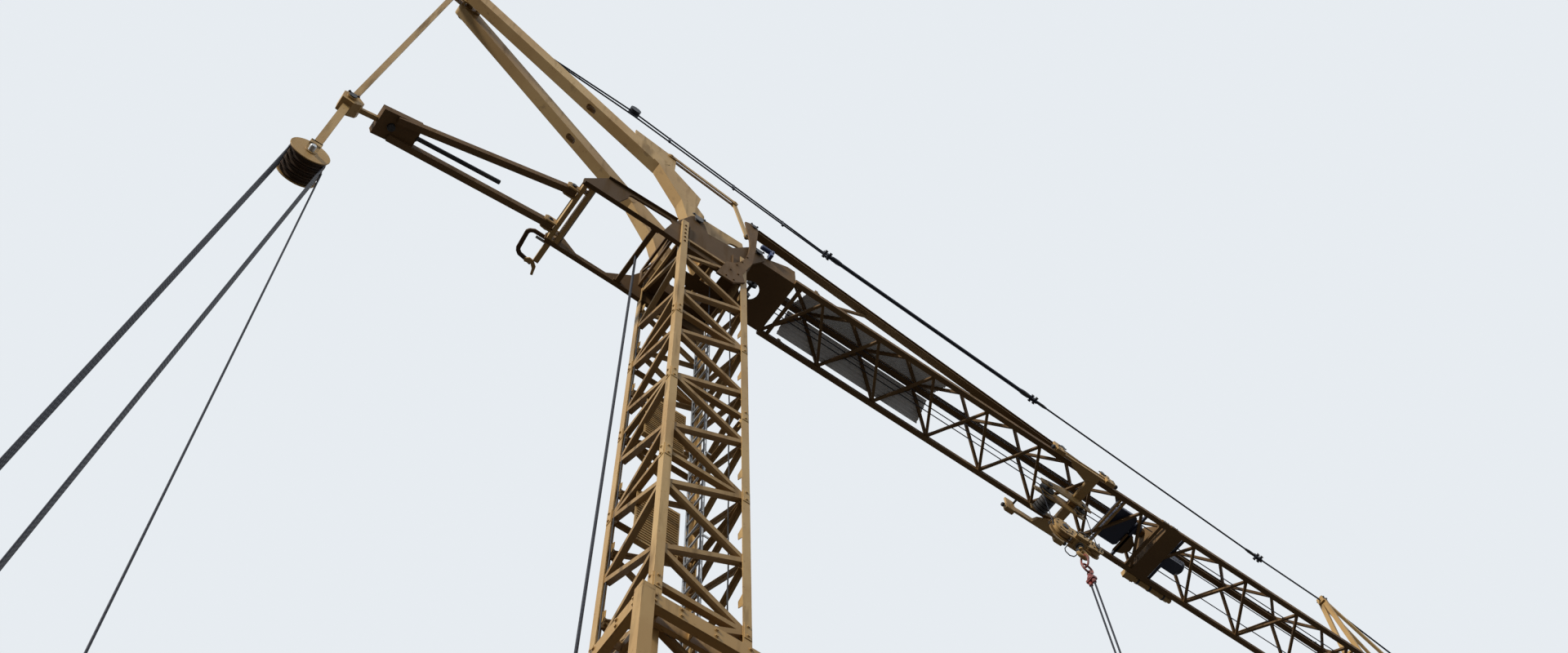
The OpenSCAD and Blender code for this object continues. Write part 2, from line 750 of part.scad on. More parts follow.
// Corrugated cladding on the jib's sloping sides
module jib_side_panels() {
    sheet = 5;
    ribs = 6;
    pitch = (side_slant - 130) / ribs;
    depth = 22;
    color(ZINC) mirror_y() translate([1950, side_y0, chord_top]) rotate([180 - side_slope, 0, 0])
        translate([0, 95, -jib_bar / 2 - depth - sheet]) rotate([90, 0, 90]) linear_extrude(2950) polygon(concat(
            [for (i = [0:ribs - 1], k = [0:3]) [(i + [0, 0.3, 0.5, 0.8][k]) * pitch, [depth, depth, 0, 0][k] + sheet]],
            [[ribs * pitch, depth + sheet], [ribs * pitch, depth]],
            [for (i = [ribs - 1:-1:0], k = [3:-1:0]) [(i + [0, 0.3, 0.5, 0.8][k]) * pitch, [depth, depth, 0, 0][k]]]
        ));
}

// Outline of a jib frame plate in Y and Z, clear of the trolley's wheels
module frame_plate() {
    polygon([
        [-jib_hw, jib_z], [jib_hw, jib_z], [jib_hw, chord_top], [jib_hw - wheel_w - 12, chord_top],
        [jib_hw - wheel_w - 12, chord_top + 40], [90, top_low + top_w + 60], [-90, top_low + top_w + 60],
        [-jib_hw + wheel_w + 12, chord_top + 40], [-jib_hw + wheel_w + 12, chord_top], [-jib_hw, chord_top]
    ]);
}

module fold_bulkheads() {
    inner = jib_hw - chord_w;
    color(BROWN) for (x = [fold_x, fold2_x]) {
        along(x, x + 30) frame_plate();
        translate([x + 30, -inner, jib_z]) cube([320, 2 * inner, 12]);
    }
}

// Motor, gearbox and rope drum between the chords, hung on cross angles
module trolley_drive() {
    z = jib_z + jib_bar + 20;
    inner = jib_hw - chord_w;
    motor_r = 105;
    color(DARK) translate([drive_x, 0, z + 40]) {
        for (y = [-125, 125]) {
            translate([0, y, motor_r]) rotate([0, 90, 0]) cylinder(r = motor_r, h = 480, $fn = 36);
            for (x = [30:64:450]) translate([x, y, motor_r]) rotate([0, 90, 0])
                cylinder(r = motor_r + 7, h = 16, $fn = 36);
        }
        translate([-40, -220, 0]) cube([60, 440, 150]);
        translate([480, -180, 20]) cube([50, 360, 120]);
    }
    color(OCHRE) for (x = [-160, -70, 440]) translate([drive_x + x, -inner, z]) cube([50, 2 * inner, 40]);
    color(DARK) {
        translate([fold_x + 380, 60, z + 150]) rotate([0, 90, 0]) cylinder(r = 130, h = 420, $fn = 36);
        translate([fold_x + 400, -inner, z]) cube([60, 2 * inner, 40]);
        translate([fold_x + 400, -60, z]) cube([360, 240, 60]);
    }
}

// Drive block and long cylinder on the far chord's outer side, inside the trolley's far frame
module chord_cylinder() {
    cylinder_r = 58;
    y = jib_hw + 5 + cylinder_r;
    z = jib_z + 50;
    color(OCHRE) translate([fold_x - 40, jib_hw, z - 60]) cube([230, 2 * cylinder_r + 8, 120]);
    color(BROWN) translate([fold_x + 190, y, z]) rotate([0, 90, 0]) cylinder(r = cylinder_r, h = 800, $fn = 32);
    color(OCHRE) for (x = [60, 700]) translate([fold_x + 190 + x, jib_hw, z - 30]) cube([50, 40, 60]);
    color(DARK) translate([fold_x + 990, y, z]) rotate([0, 90, 0]) cylinder(r = cylinder_r - 12, h = 70, $fn = 32);
}

module folding_strut() {
    strut_w = 70;
    strut_h = 130;
    y0 = -(mast_h - 5 - strut_w / 2);
    y1 = -(plate_y - head_t - strut_w / 2);
    end_x = 8085;
    color(BROWN) difference() {
        union() {
            bar([horn_x, y0, horn_z], [end_x, y1, chord_top + 190], strut_w, strut_h);
            translate([horn_x, y0 + strut_w / 2, horn_z]) rotate([90, 0, 0])
                cylinder(r = strut_h / 2 + 12, h = strut_w, $fn = 32);
            translate([end_x - 55, y1 - 30, chord_top]) cube([110, 60, 200]);
        }
        translate([horn_x, 0, horn_z]) rotate([90, 0, 0]) cylinder(r = strut_pin_r, h = 1000, $fn = 24);
    }
    color(OCHRE) bar([2300, -plate_y + 70, chord_top + 21], [3140, y0 + 60, horn_z - 320], 40, 50);
}

module kingpost() {
    z = top_low + top_w;
    back = 2800;
    color(OCHRE) difference() {
        union() {
            mirror_y() bar([king_x, 190, z - 60], [king_x, 40, king_z], 60, 90);
            mirror_y() bar([king_x + back, 190, z - 60], [king_x + 60, 40, king_z - 60], 55, 70);
            translate([king_x - 70, -75, king_z - 80]) cube([150, 150, 160]);
            for (x = [king_x - 60, king_x + back - 90]) translate([x, -215, z]) cube([130, 430, 26]);
            translate([king_x - 30, -140, z + 900]) cube([60, 280, 60]);
        }
        translate([king_x - 500, -400, z - 600]) cube([4000, 800, 600]);
        translate([king_x - 72, -76, king_z + 81]) cube([160, 152, 100]);
    }
}

// Tie line: two strands to the first joint, a thick tube, and strands over the kingpost to the outer jib
module jib_tie_line() {
    z = top_low + top_w;
    joint_a = [apex_x - 2110, 0, apex_z - 700];
    joint_b = [7920, 0, apex_z - 1120];
    joint_c = [13680, 0, king_z + 50];
    roller = [-1500, 0, apex_z + 100];
    start = [-apex_x + 160 + 29, 0, apex_z + 30];
    low = 200;
    color(ROPE) {
        rod(start, roller, 16, 8);
        rod(roller, joint_a, 16, 8);
        rod(start, roller - [0, 0, low], 16, 8);
        rod(roller - [0, 0, low], joint_a - [0, 0, low / 2], 16, 8);
        rod(joint_a, joint_b, 38, 10);
        rod(joint_b, joint_c, 18, 8);
        for (s = [-22, 22]) rod(joint_c + [0, 0, s], [king_x - 70.5, 0, king_z + s], 11, 6);
        rod([king_x + 84.5, 0, king_z], [26000, 0, z + 60], 18, 8);
        translate([25900, -20, z]) cube([200, 40, 90]);
    }
    color(DARK) {
        translate(roller) translate([0, 60, 60]) rotate([90, 0, 0]) cylinder(r = 110, h = 120, $fn = 32);
        for (p = [joint_a, joint_b, joint_c]) {
            translate(p - [90, 30, 60]) cube([180, 60, 120]);
            for (x = [-50, 50]) translate(p + [x, 60, 0]) rotate([90, 0, 0]) cylinder(r = 24, h = 120, $fn = 20);
        }
        translate(joint_a - [60, 20, 150]) cube([40, 40, 120]);
        for (x = [-3400, -690, 770, 1900]) translate([
            x, 0, roller[2] + (joint_a[2] - roller[2]) * max(0, (x - roller[0]) / (joint_a[0] - roller[0])) - 190
        ]) translate([-20, -20, 0]) cube([40, 40, 200]);
    }
}

module jib_tip() {
    color(OCHRE) along(jib_x1, jib_x1 + 60) frame_plate();
}

// Trolley: side frames outside the chords, end blocks, a braced cross-beam and the sheave cheeks
module trolley_frame() {
    low = jib_z - 110;
    side_t = 40;
    x0 = trolley_x - trolley_l / 2;
    beam_x = trolley_x + 210;
    cheek_y = 90;
    color(OCHRE) {
        for (y = [-frame_y - side_t, far_y]) {
            translate([x0, y, low]) cube([trolley_l, side_t, 150]);
            for (x = [x0, x0 + trolley_l - 190]) translate([x, y, low]) cube([190, side_t, wheel_z - low + 60]);
        }
        for (y = [-frame_y - side_t - 35, far_y], x = [x0 - 25, x0 + trolley_l - 165])
            translate([x, y, low - 30]) cube([190, side_t + 35, 130]);
        translate([beam_x, -frame_y - 1, low]) cube([160, frame_y + far_y + 2, 86]);
        translate([0, 0, low]) linear_extrude(86) polygon([
            [beam_x - 480, -frame_y - 1], [beam_x - 400, -frame_y + 70], [beam_x + 1, -frame_y + 190],
            [beam_x + 1, -frame_y - 1]
        ]);
        translate([0, 0, low]) linear_extrude(86) polygon([
            [beam_x - 300, far_y + 1], [beam_x - 240, far_y - 90], [beam_x + 1, far_y - 200], [beam_x + 1, far_y + 1]
        ]);
        for (s = [-1, 1]) across(s * cheek_y - 12, s * cheek_y + 12) polygon([
            [trolley_x - fall_x - 60, trolley_sheave_z - 70], [trolley_x - fall_x - 60, trolley_sheave_z + 60],
            [beam_x - 260, low + 86], [beam_x + 161, low + 86], [trolley_x + fall_x + 60, trolley_sheave_z + 60],
            [trolley_x + fall_x + 60, trolley_sheave_z - 70]
        ]);
        across(430, 450) polygon([
            [trolley_x - 330, low - 130], [trolley_x - 330, low + 20], [beam_x + 1, low + 80], [beam_x + 1, low - 20]
        ]);
    }
}

module trolley_wheels() {
    color(DARK) for (s = [-1, 1], x = [-450, 450])
        translate([trolley_x + x, 0, wheel_z]) mirror([0, s < 0 ? 1 : 0, 0]) rotate([-90, 0, 0]) {
            translate([0, 0, jib_hw - wheel_w]) cylinder(r = wheel_r, h = wheel_w, $fn = 32);
            translate([0, 0, jib_hw]) cylinder(r = 20, h = (s < 0 ? frame_y : far_y) - jib_hw, $fn = 24);
        }
}

// Round rope sheaves of the trolley, and the stack of guide sheaves beside them
module trolley_sheaves() {
    stack_r = 140;
    color(DARK) {
        for (p = [[trolley_sheave_r - fall_x, trolley_sheave_r], [fall_x - small_sheave_r, small_sheave_r]])
            translate([trolley_x + p[0], 0, trolley_sheave_z]) rotate([90, 0, 0]) {
                translate([0, 0, -30]) cylinder(r = p[1], h = 60, $fn = 36);
                translate([0, 0, -78]) cylinder(r = 30, h = 156, $fn = 24);
            }
        translate([trolley_x - 160, 430, guide_sheave_z]) rotate([90, 0, 0]) {
            for (i = [0:4]) translate([0, 0, 10 + i * 60]) cylinder(r = stack_r, h = 44, $fn = 36);
            cylinder(r = 90, h = 328, $fn = 32);
        }
    }
}

// The hook's cross-block: a big and a small sheave in line between rounded cheeks
module hook_block() {
    cheek = 22;
    inner = 50;
    small_r = 120;
    left = -fall_x + block_sheave_r;
    right = fall_x - small_r;
    color(OCHRE) translate([trolley_x, 0, hook_z]) difference() {
        union() {
            mirror_y() across(inner, inner + cheek) union() {
                translate([left, 0]) circle(r = block_sheave_r + 40, $fn = 48);
                translate([right, 0]) circle(r = small_r + 25, $fn = 40);
                polygon([
                    [left, -210], [left, 210], [-160, 130], [right - 60, 145], [right, 145], [right, -145],
                    [right - 90, -135], [140, -190], [-150, -190]
                ]);
            }
            for (p = [[left, block_sheave_r], [right, small_r]]) translate([p[0], 0, 0]) rotate([90, 0, 0]) {
                translate([0, 0, -30]) cylinder(r = p[1], h = 60, $fn = 48);
                translate([0, 0, -inner - cheek - 14]) cylinder(r = 45, h = 2 * (inner + cheek + 14), $fn = 24);
            }
            translate([-110, -inner - cheek, -190]) cube([220, 2 * (inner + cheek), 80]);
            for (x = [-140, 150]) translate([x, -inner - 1, 60]) cube([60, 2 * inner + 2, 50]);
            translate([-150, -inner - cheek - 60, -160]) cube([300, 2 * (inner + cheek + 60), 30]);
        }
        translate([0, 0, -191]) cylinder(r = stem_r + fit, h = 82, $fn = 32);
    }
}

module hook_falls() {
    color(ROPE) for (s = [-1, 1]) translate([trolley_x + s * (fall_x + fall_r + fit), 0, hook_z])
        cylinder(r = fall_r, h = trolley_sheave_z - hook_z, $fn = 8);
}

// Forged hook on its stem, with a keeper over the mouth
module hook() {
    bend_r = 105;
    shank = 150;
    mid = -190 - shank - bend_r;
    color(OCHRE) translate([trolley_x, 0, hook_z]) {
        translate([0, 0, -190 - shank]) cylinder(r = stem_r, h = shank + 80 + fit, $fn = 32);
        translate([0, 0, -110 + fit]) cylinder(r = stem_r + 10, h = 40, $fn = 32);
        translate([0, 0, -190 - shank]) cylinder(r1 = 52, r2 = stem_r, h = 70, $fn = 32);
        translate([0, 0, mid]) rotate([90, 0, 0]) rotate([0, 0, -160]) rotate_extrude(angle = 250, $fn = 64)
            translate([bend_r, 0]) circle(r = 36, $fn = 24);
    }
}

// The opening in a rear arm, with one rounded corner
module arm_window(low, high) {
    corner = 90;
    polygon(concat(
        [[hinge_x + 500, low], [hinge_x + 640, high - 2 * corner]],
        [for (a = [170:-20:90]) [hinge_x + 740 + corner * cos(a), high - corner + corner * sin(a)]],
        [[foot_x - 500, high + 60], [foot_x - 450, high], [-mast_h - 300, low]]
    ));
}

// Sickle plates on the mast's outer sides, whose tips hold the folding strut
module head_horns() {
    inner_r = 620;
    horn_t = 30;
    z = head_low_z + 1880;
    x = horn_x - inner_r - 90;
    color(BROWN) mirror_y() across(mast_h, mast_h + horn_t) difference() {
        polygon(concat(
            [for (a = [24:-7:-74]) [x + inner_r * cos(a), z + 2.35 * inner_r * sin(a) - 120]],
            [
                [horn_x - 720, head_low_z - 330], [horn_x - 420, head_low_z - 320], [horn_x - 200, head_low_z - 40],
                [horn_x - 250, head_low_z + 220], [horn_x - 60, head_low_z + 900], [horn_x + 30, head_low_z + 1700],
                [horn_x + 90, horn_z + 20], [horn_x + 55, horn_z + 70], [horn_x - 90, horn_z + 75],
                [horn_x - 175, horn_z + 15]
            ]
        ));
        translate([horn_x, horn_z]) circle(r = strut_pin_r, $fn = 24);
    }
}

// Curved rocker plates over the head, between the feet of the A-frame and the jib's pivot
module head_rocker() {
    plate = 30;
    r = 330;
    color(OCHRE) {
        mirror_y() across(rocker_y, rocker_y + plate) difference() {
            polygon(concat(
                [for (a = [40:-10:-50]) [foot_x - 60 + r * cos(a), foot_z + 1010 + r * sin(a)]],
                [
                    [foot_x + 440, foot_z - 390], [foot_x + 690, foot_z - 390], [foot_x + 740, foot_z - 90],
                    [foot_x + 780, foot_z + 620],
                    [foot_x + 1130, foot_z + 980], [foot_x + 1090, foot_z + 1280]
                ]
            ));
            translate([foot_x + 970, foot_z + 820]) circle(r = 170, $fn = 40);
            translate([foot_x + 570, foot_z - 300]) circle(r = 50, $fn = 24);
        }
        translate([foot_x + 500, -rocker_y, foot_z + 300]) cube([40, 2 * rocker_y, 500]);
    }
    color(DARK) translate([foot_x + 570, plate_y - head_t, foot_z - 300]) rotate([90, 0, 0])
        cylinder(r = 50 - fit, h = 2 * (plate_y - head_t), $fn = 24);
}

// The U shaped guard on the shaft's end, and the curved catch under it
module hinge_guard() {
    t = 50;
    x = hinge_x - 60;
    y = plate_y;
    z = head_low_z + 160;
    color(BROWN) translate([0, 0, z]) linear_extrude(t) polygon([
        [x + 90, y], [x - 250, y], [x - 330, y + 70], [x - 300, y + 420], [x - 230, y + 500], [x + 10, y + 540],
        [x + 10, y + 480], [x - 200, y + 440], [x - 245, y + 390], [x - 270, y + 100], [x - 220, y + 60], [x + 90, y + 60]
    ]);
    color(OCHRE) translate([0, 0, z - 45]) linear_extrude(45) polygon([
        [x - 120, y + 470], [x - 60, y + 420], [x + 20, y + 430], [x + 100, y + 500], [x + 130, y + 640],
        [x + 90, y + 650], [x + 60, y + 550], [x, y + 490], [x - 100, y + 520]
    ]);
}

// An oval opening through a leg's upper and lower walls, a third of the way up
module leg_opening(knee, top, leg_w, leg_h) {
    d = top - knee;
    at = knee + 0.33 * d;
    translate(at) rotate([0, atan2(norm([d[0], d[1]]), d[2]), atan2(d[1], d[0])]) for (s = [-60, 60])
        translate([-leg_h, 0, s]) rotate([0, 90, 0]) cylinder(r = 55, h = 2 * leg_h, $fn = 32);
    translate(at) rotate([0, atan2(norm([d[0], d[1]]), d[2]), atan2(d[1], d[0])])
        translate([-leg_h, -55, -60]) cube([2 * leg_h, 110, 120]);
}

// The link from the near leg to the strut's top, and the short link down to the strut
module fold_link() {
    elbow = [link_x + 1340, link_z - 250];
    long_ends = [[link_x, link_z], elbow];
    color(OCHRE) for (s = [-1, 1]) across(-link_y + s * 26 - 10, -link_y + s * 26 + 10) difference() {
        union() {
            link_strip(long_ends[0], elbow, 90);
            for (p = long_ends) translate(p) circle(r = 60, $fn = 32);
        }
        for (p = long_ends) translate(p) circle(r = 26, $fn = 24);
    }
    color(DARK) {
        across(-link_y - 14, -link_y + 14) difference() {
            union() {
                link_strip(elbow, [horn_x, horn_z], 80);
                translate(elbow) circle(r = 55, $fn = 32);
                translate([horn_x, horn_z]) circle(r = 60, $fn = 32);
            }
            translate(elbow) circle(r = 26, $fn = 24);
            translate([horn_x, horn_z]) circle(r = strut_pin_r, $fn = 24);
        }
        for (p = long_ends) translate([p[0], -link_y + 50, p[1]]) rotate([90, 0, 0])
            cylinder(r = 26 - fit, h = 100, $fn = 24);
    }
}

// The jib's root: a floor plate with a round opening between two side plates
module jib_root_frame() {
    w = plate_y - head_t - 1;
    t = 28;
    front = jib_x0 - pivot_x;
    color(BROWN) {
        difference() {
            translate([pivot_x - 120, -w, jib_z]) cube([front + 120, 2 * w, t]);
            translate([pivot_x + 200, 0, jib_z - 1]) cylinder(r = 170, h = t + 2, $fn = 48);
            translate([pivot_x - 121, -w - 1, jib_z - 1]) cube([60, 160, t + 2]);
            translate([pivot_x - 121, w - 159, jib_z - 1]) cube([60, 160, t + 2]);
        }
        mirror_y() across(w - t, w) difference() {
            polygon([
                [pivot_x - 60, jib_z], [pivot_x - 60, pivot_z + 60], [pivot_x, pivot_z + 90],
                [pivot_x + 120, pivot_z + 70], [jib_x0 - 150, top_low + top_w], [jib_x0, top_low + top_w],
                [jib_x0, jib_z]
            ]);
            translate([pivot_x, pivot_z]) circle(r = root_pin_r, $fn = 32);
        }
        difference() {
            along(jib_x0 - 30, jib_x0) frame_plate();
            translate([jib_x0 - 31, -210, jib_z + 200]) cube([32, 420, 200]);
        }
    }
}

// Thin ropes that run inside the jib from the root to the drive and the tip
module jib_ropes() {
    z = jib_z + 2 * jib_bar + 60;
    color(ROPE) for (y = [-150, -50, 50, 150])
        translate([jib_x0, y, z + abs(y) / 5]) rotate([0, 90, 0]) cylinder(r = 7, h = drive_x - 40 - jib_x0, $fn = 6);
}

// Lifting sling in the hook: master ring, red coupling and two wire legs with end hooks
module sling() {
    top = hook_z - 190 - 150 - 105 - 105;
    ring_r = 110;
    ring_t = 18;
    ring_z = top + 36 + fit + ring_t - ring_r;
    red_z = ring_z - ring_r - 150;
    leg = 3300;
    color(DARK) translate([trolley_x, 0, ring_z]) rotate([90, 0, 90]) rotate_extrude($fn = 48)
        translate([ring_r, 0]) circle(r = ring_t, $fn = 16);
    color(RED) translate([trolley_x, 0, red_z]) {
        translate([-45, -70, 0]) cube([90, 140, 80]);
        translate([-18, -22, 80]) cube([36, 44, 75]);
        for (s = [-1, 1]) translate([0, s * 40, -70]) cylinder(r = 34, h = 72, $fn = 24);
    }
    color(ROPE) for (s = [-1, 1]) translate([trolley_x, s * 40, red_z - 70 - leg]) cylinder(r = 14, h = leg + 5, $fn = 8);
    color(DARK) for (s = [-1, 1]) translate([trolley_x, s * 40, red_z - 70 - leg]) {
        translate([0, 0, -60]) cylinder(r = 22, h = 120, $fn = 20);
        translate([0, 0, -115]) rotate([90, 0, 0]) rotate([0, 0, -160]) rotate_extrude(angle = 250, $fn = 48)
            translate([55, 0]) circle(r = 14, $fn = 14);
    }
}

// Outline of a straight link between two pins, drawn in X and Z
module link_strip(a, b, w) {
    d = b - a;
    translate(a) rotate(atan2(d[1], d[0])) translate([0, -w / 2]) square([norm(d), w]);
}

chassis_frame();
outrigger_arms();
outrigger_jacks();
foot_pads();
slew_ring_lower();
slew_ring_upper();
platform_frame();
ballast_blocks();
hoist_winch();
guy_winch();
control_cabinet();
tail_sheaves();
lower_mast_posts();
lower_mast_side_faces();
lower_mast_end_faces();
lower_mast_collar();
upper_mast_posts();
upper_mast_side_faces();
upper_mast_rear_face();
upper_mast_front_face();
mast_inner_plates();
mast_ladder();
head_side_plates();
head_horns();
head_cross_plates();
head_rocker();
rear_hinge_beam();
fork_strut();
fold_link();
frame_near_leg();
frame_far_leg();
apex_head();
guy_links();
guy_sheave_block();
guy_rope_falls();
mast_rope();
inner_jib_chords();
inner_jib_lacing();
middle_jib_chords();
middle_jib_lacing();
outer_jib_chords();
outer_jib_lacing();
jib_root_frame();
pivot_pins();
jib_side_panels();
fold_bulkheads();
trolley_drive();
chord_cylinder();
jib_ropes();
folding_strut();
kingpost();
jib_tie_line();
jib_tip();
trolley_frame();
trolley_wheels();
trolley_sheaves();
hook_block();
hook_falls();
hook();
sling();
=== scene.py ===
# Looks for a self-erecting tower crane: paints, steels, ropes and the small fittings on its frame.
# Frame: metres, origin on the slewing axis at ground level, +X along the jib, +Z up.
import json
import math

import bpy
from mathutils import Matrix, Vector


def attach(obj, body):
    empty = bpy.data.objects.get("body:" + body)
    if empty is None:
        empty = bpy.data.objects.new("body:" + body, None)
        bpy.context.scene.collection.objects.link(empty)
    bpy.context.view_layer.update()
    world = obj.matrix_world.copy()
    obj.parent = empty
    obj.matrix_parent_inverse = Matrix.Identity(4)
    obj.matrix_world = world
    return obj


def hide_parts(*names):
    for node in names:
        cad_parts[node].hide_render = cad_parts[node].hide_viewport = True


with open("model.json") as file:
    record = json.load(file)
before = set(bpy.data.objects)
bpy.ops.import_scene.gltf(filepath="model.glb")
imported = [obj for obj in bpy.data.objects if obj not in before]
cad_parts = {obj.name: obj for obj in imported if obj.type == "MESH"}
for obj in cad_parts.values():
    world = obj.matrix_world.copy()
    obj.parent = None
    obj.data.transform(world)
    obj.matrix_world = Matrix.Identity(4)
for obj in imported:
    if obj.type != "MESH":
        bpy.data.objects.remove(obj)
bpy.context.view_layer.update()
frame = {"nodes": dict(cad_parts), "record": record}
nodes = frame["nodes"]
scene = bpy.context.scene

# Camera fitted to the photograph, with an assumed focal length and eye height
CAMERA_PLACE = (-5.055, -8.369, 1.650)
CAMERA_TURN = (155.8524, 1.5484, -35.748)
CAMERA_LENS = 37.5
SENSOR_WIDTH = 36.0

# The four bodies
UNDERCARRIAGE = "undercarriage"
UPPERWORKS = "upperworks"
TROLLEY = "trolley"
HOOK = "hook"

# Directions
ALONG = (1, 0, 0)
LEFTWARDS = (0, 1, 0)
RIGHTWARDS = (0, -1, 0)
UP = (0, 0, 1)

# Main places on the crane, in metres
PLATE_OUT = 0.548
BASE_TOP = 14.80
COLLAR_LOW = 14.60
DECK_TOP = 1.44
NODE_TOP = 24.98
MODULE_LEVELS = (22.26, 20.22, 18.18, 15.46)
BAR_RISE = 0.68
BAR_START = 13.42
HEAD_LOW = 24.64
FOOT_PIN = (-0.300, 26.150)
ROOT_PIN = (0.880, 26.450)
HORN_PIN = (0.750, 27.280)
APEX = (-5.050, 31.200)
JIB_HALF = 0.570
FOLDS = (9.76, 19.80)
TROLLEY_X = 7.70
HOOK_Z = 24.68
GUY_X = -5.71
GUY_Z = 21.05
TAIL_X = -6.17
TAIL_Z = 1.82
HOIST_X = -2.90
GUY_WINCH_X = -1.75

# Paint and metal colours, linear. Each weathered material's stain colour also paints shade on its
# downward-facing faces.
OCHRE = (0.42, 0.255, 0.090, 1)
OCHRE_FADED = (0.50, 0.330, 0.135, 1)
OCHRE_DIRT_AND_SHADE = (0.10, 0.060, 0.028, 1)
RUST = (0.13, 0.045, 0.018, 1)
# The lacing colours are the ochre paint darkened, as painted shade on the mast's faces.
MAST_FACE_SHADED_OCHRE = (0.290, 0.172, 0.064, 1)
MAST_FACE_SHADED_FADED = (0.350, 0.225, 0.095, 1)
# The jib's brown is its ochre paint darkened, as painted shade.
SHADED_OCHRE = (0.125, 0.072, 0.033, 1)
SHADED_OCHRE_FADED = (0.170, 0.100, 0.043, 1)
# The head's colours are the ochre paint darkened further, as painted shade.
HEAD_SHADED_OCHRE = (0.082, 0.047, 0.020, 1)
HEAD_SHADED_FADED = (0.120, 0.070, 0.030, 1)
GUARD_BROWN = (0.060, 0.034, 0.018, 1)
SHEAVE_BROWN = (0.075, 0.045, 0.026, 1)
SHEAVE_WORN = (0.110, 0.068, 0.038, 1)
STEEL_DARK = (0.035, 0.037, 0.043, 1)
STEEL_WORN = (0.09, 0.085, 0.08, 1)
ZINC = (0.56, 0.58, 0.60, 1)
ZINC_DULL = (0.38, 0.395, 0.41, 1)
ZINC_DIRT_AND_SHADE = (0.12, 0.12, 0.115, 1)
PANEL_GREY = (0.80, 0.82, 0.84, 1)
PANEL_DULL = (0.68, 0.70, 0.72, 1)
PANEL_DIRT_AND_SHADE = (0.15, 0.14, 0.13, 1)
ROPE_STEEL = (0.026, 0.030, 0.044, 1)
ROPE_GREASE = (0.013, 0.014, 0.020, 1)
CONCRETE = (0.44, 0.43, 0.40, 1)
CONCRETE_PALE = (0.52, 0.51, 0.48, 1)
CONCRETE_STAIN_AND_SHADE = (0.20, 0.19, 0.17, 1)
MOTOR_BLUE = (0.012, 0.018, 0.050, 1)
MOTOR_BLUE_WORN = (0.030, 0.038, 0.070, 1)
ROOT_BLUE = (0.020, 0.050, 0.190, 1)
ROOT_BLUE_WORN = (0.035, 0.065, 0.180, 1)
HOOK_RED = (0.23, 0.050, 0.035, 1)
COUPLING_RED = (0.22, 0.030, 0.022, 1)
COUPLING_WORN = (0.16, 0.030, 0.024, 1)
RUBBER = (0.02, 0.02, 0.022, 1)
RUBBER_WORN = (0.035, 0.035, 0.037, 1)
RUBBER_DUST_AND_SHADE = (0.05, 0.045, 0.04, 1)
FLOOR_GREY = (0.66, 0.66, 0.65, 1)
FLOOR_PALE = (0.70, 0.70, 0.69, 1)
FLOOR_BOUNCE = (0.105, 0.10, 0.095, 1)
SKY_LIGHT = (0.80, 0.88, 1.0, 1)
SKY_SEEN = (0.80, 0.84, 0.88, 1)


def set_values(node, values):
    """Sets a shader node's sockets by their names."""
    for label, value in values.items():
        node.inputs[label].default_value = value


def new_group(name, inputs, outputs):
    """A shader node group with named sockets."""
    group = bpy.data.node_groups.new(name, "ShaderNodeTree")
    for label, kind, value in inputs:
        socket = group.interface.new_socket(label, in_out="INPUT", socket_type=kind)
        socket.default_value = value
    for label, kind in outputs:
        group.interface.new_socket(label, in_out="OUTPUT", socket_type=kind)
    first = group.nodes.new("NodeGroupInput")
    last = group.nodes.new("NodeGroupOutput")
    return group, first, last


def math_node(tree, operation, a, b):
    """One math step, with each side a number or a socket."""
    node = tree.nodes.new("ShaderNodeMath")
    node.operation = operation
    for slot, value in zip(node.inputs, (a, b)):
        if isinstance(value, (int, float)):
            slot.default_value = value
        else:
            tree.links.new(value, slot)
    return node.outputs[0]


def mix_colour(tree, share, a, b):
    """Mixes two colours by a share."""
    node = tree.nodes.new("ShaderNodeMix")
    node.data_type = "RGBA"
    tree.links.new(share, node.inputs["Factor"])
    colour_slots = [s for s in node.inputs if s.type == "RGBA"]
    for slot, value in zip(colour_slots, (a, b)):
        if isinstance(value, tuple):
            slot.default_value = value
        else:
            tree.links.new(value, slot)
    return [s for s in node.outputs if s.type == "RGBA"][0]


def ramp(tree, value, low, high):
    """A soft step from 0 at low to 1 at high."""
    node = tree.nodes.new("ShaderNodeMapRange")
    node.interpolation_type = "SMOOTHSTEP"
    tree.links.new(value, node.inputs["Value"])
    set_values(node, {"From Min": low, "From Max": high})
    return node.outputs["Result"]


def noise(tree, scale, detail, stretch=None):
    """Noise on the object's own coordinates, stretched along an axis if asked."""
    place = tree.nodes.new("ShaderNodeTexCoord").outputs["Object"]
    if stretch:
        mapping = tree.nodes.new("ShaderNodeMapping")
        mapping.inputs["Scale"].default_value = stretch
        tree.links.new(place, mapping.inputs["Vector"])
        place = mapping.outputs["Vector"]
    node = tree.nodes.new("ShaderNodeTexNoise")
    set_values(node, {"Scale": scale, "Detail": detail})
    tree.links.new(place, node.inputs["Vector"])
    return node.outputs["Fac"]


def add_bump(tree, shader, height, strength, distance):
    """Bump from a height, on a shader's normal."""
    bump = tree.nodes.new("ShaderNodeBump")
    set_values(bump, {"Strength": strength, "Distance": distance})
    tree.links.new(height, bump.inputs["Height"])
    tree.links.new(bump.outputs["Normal"], shader.inputs["Normal"])


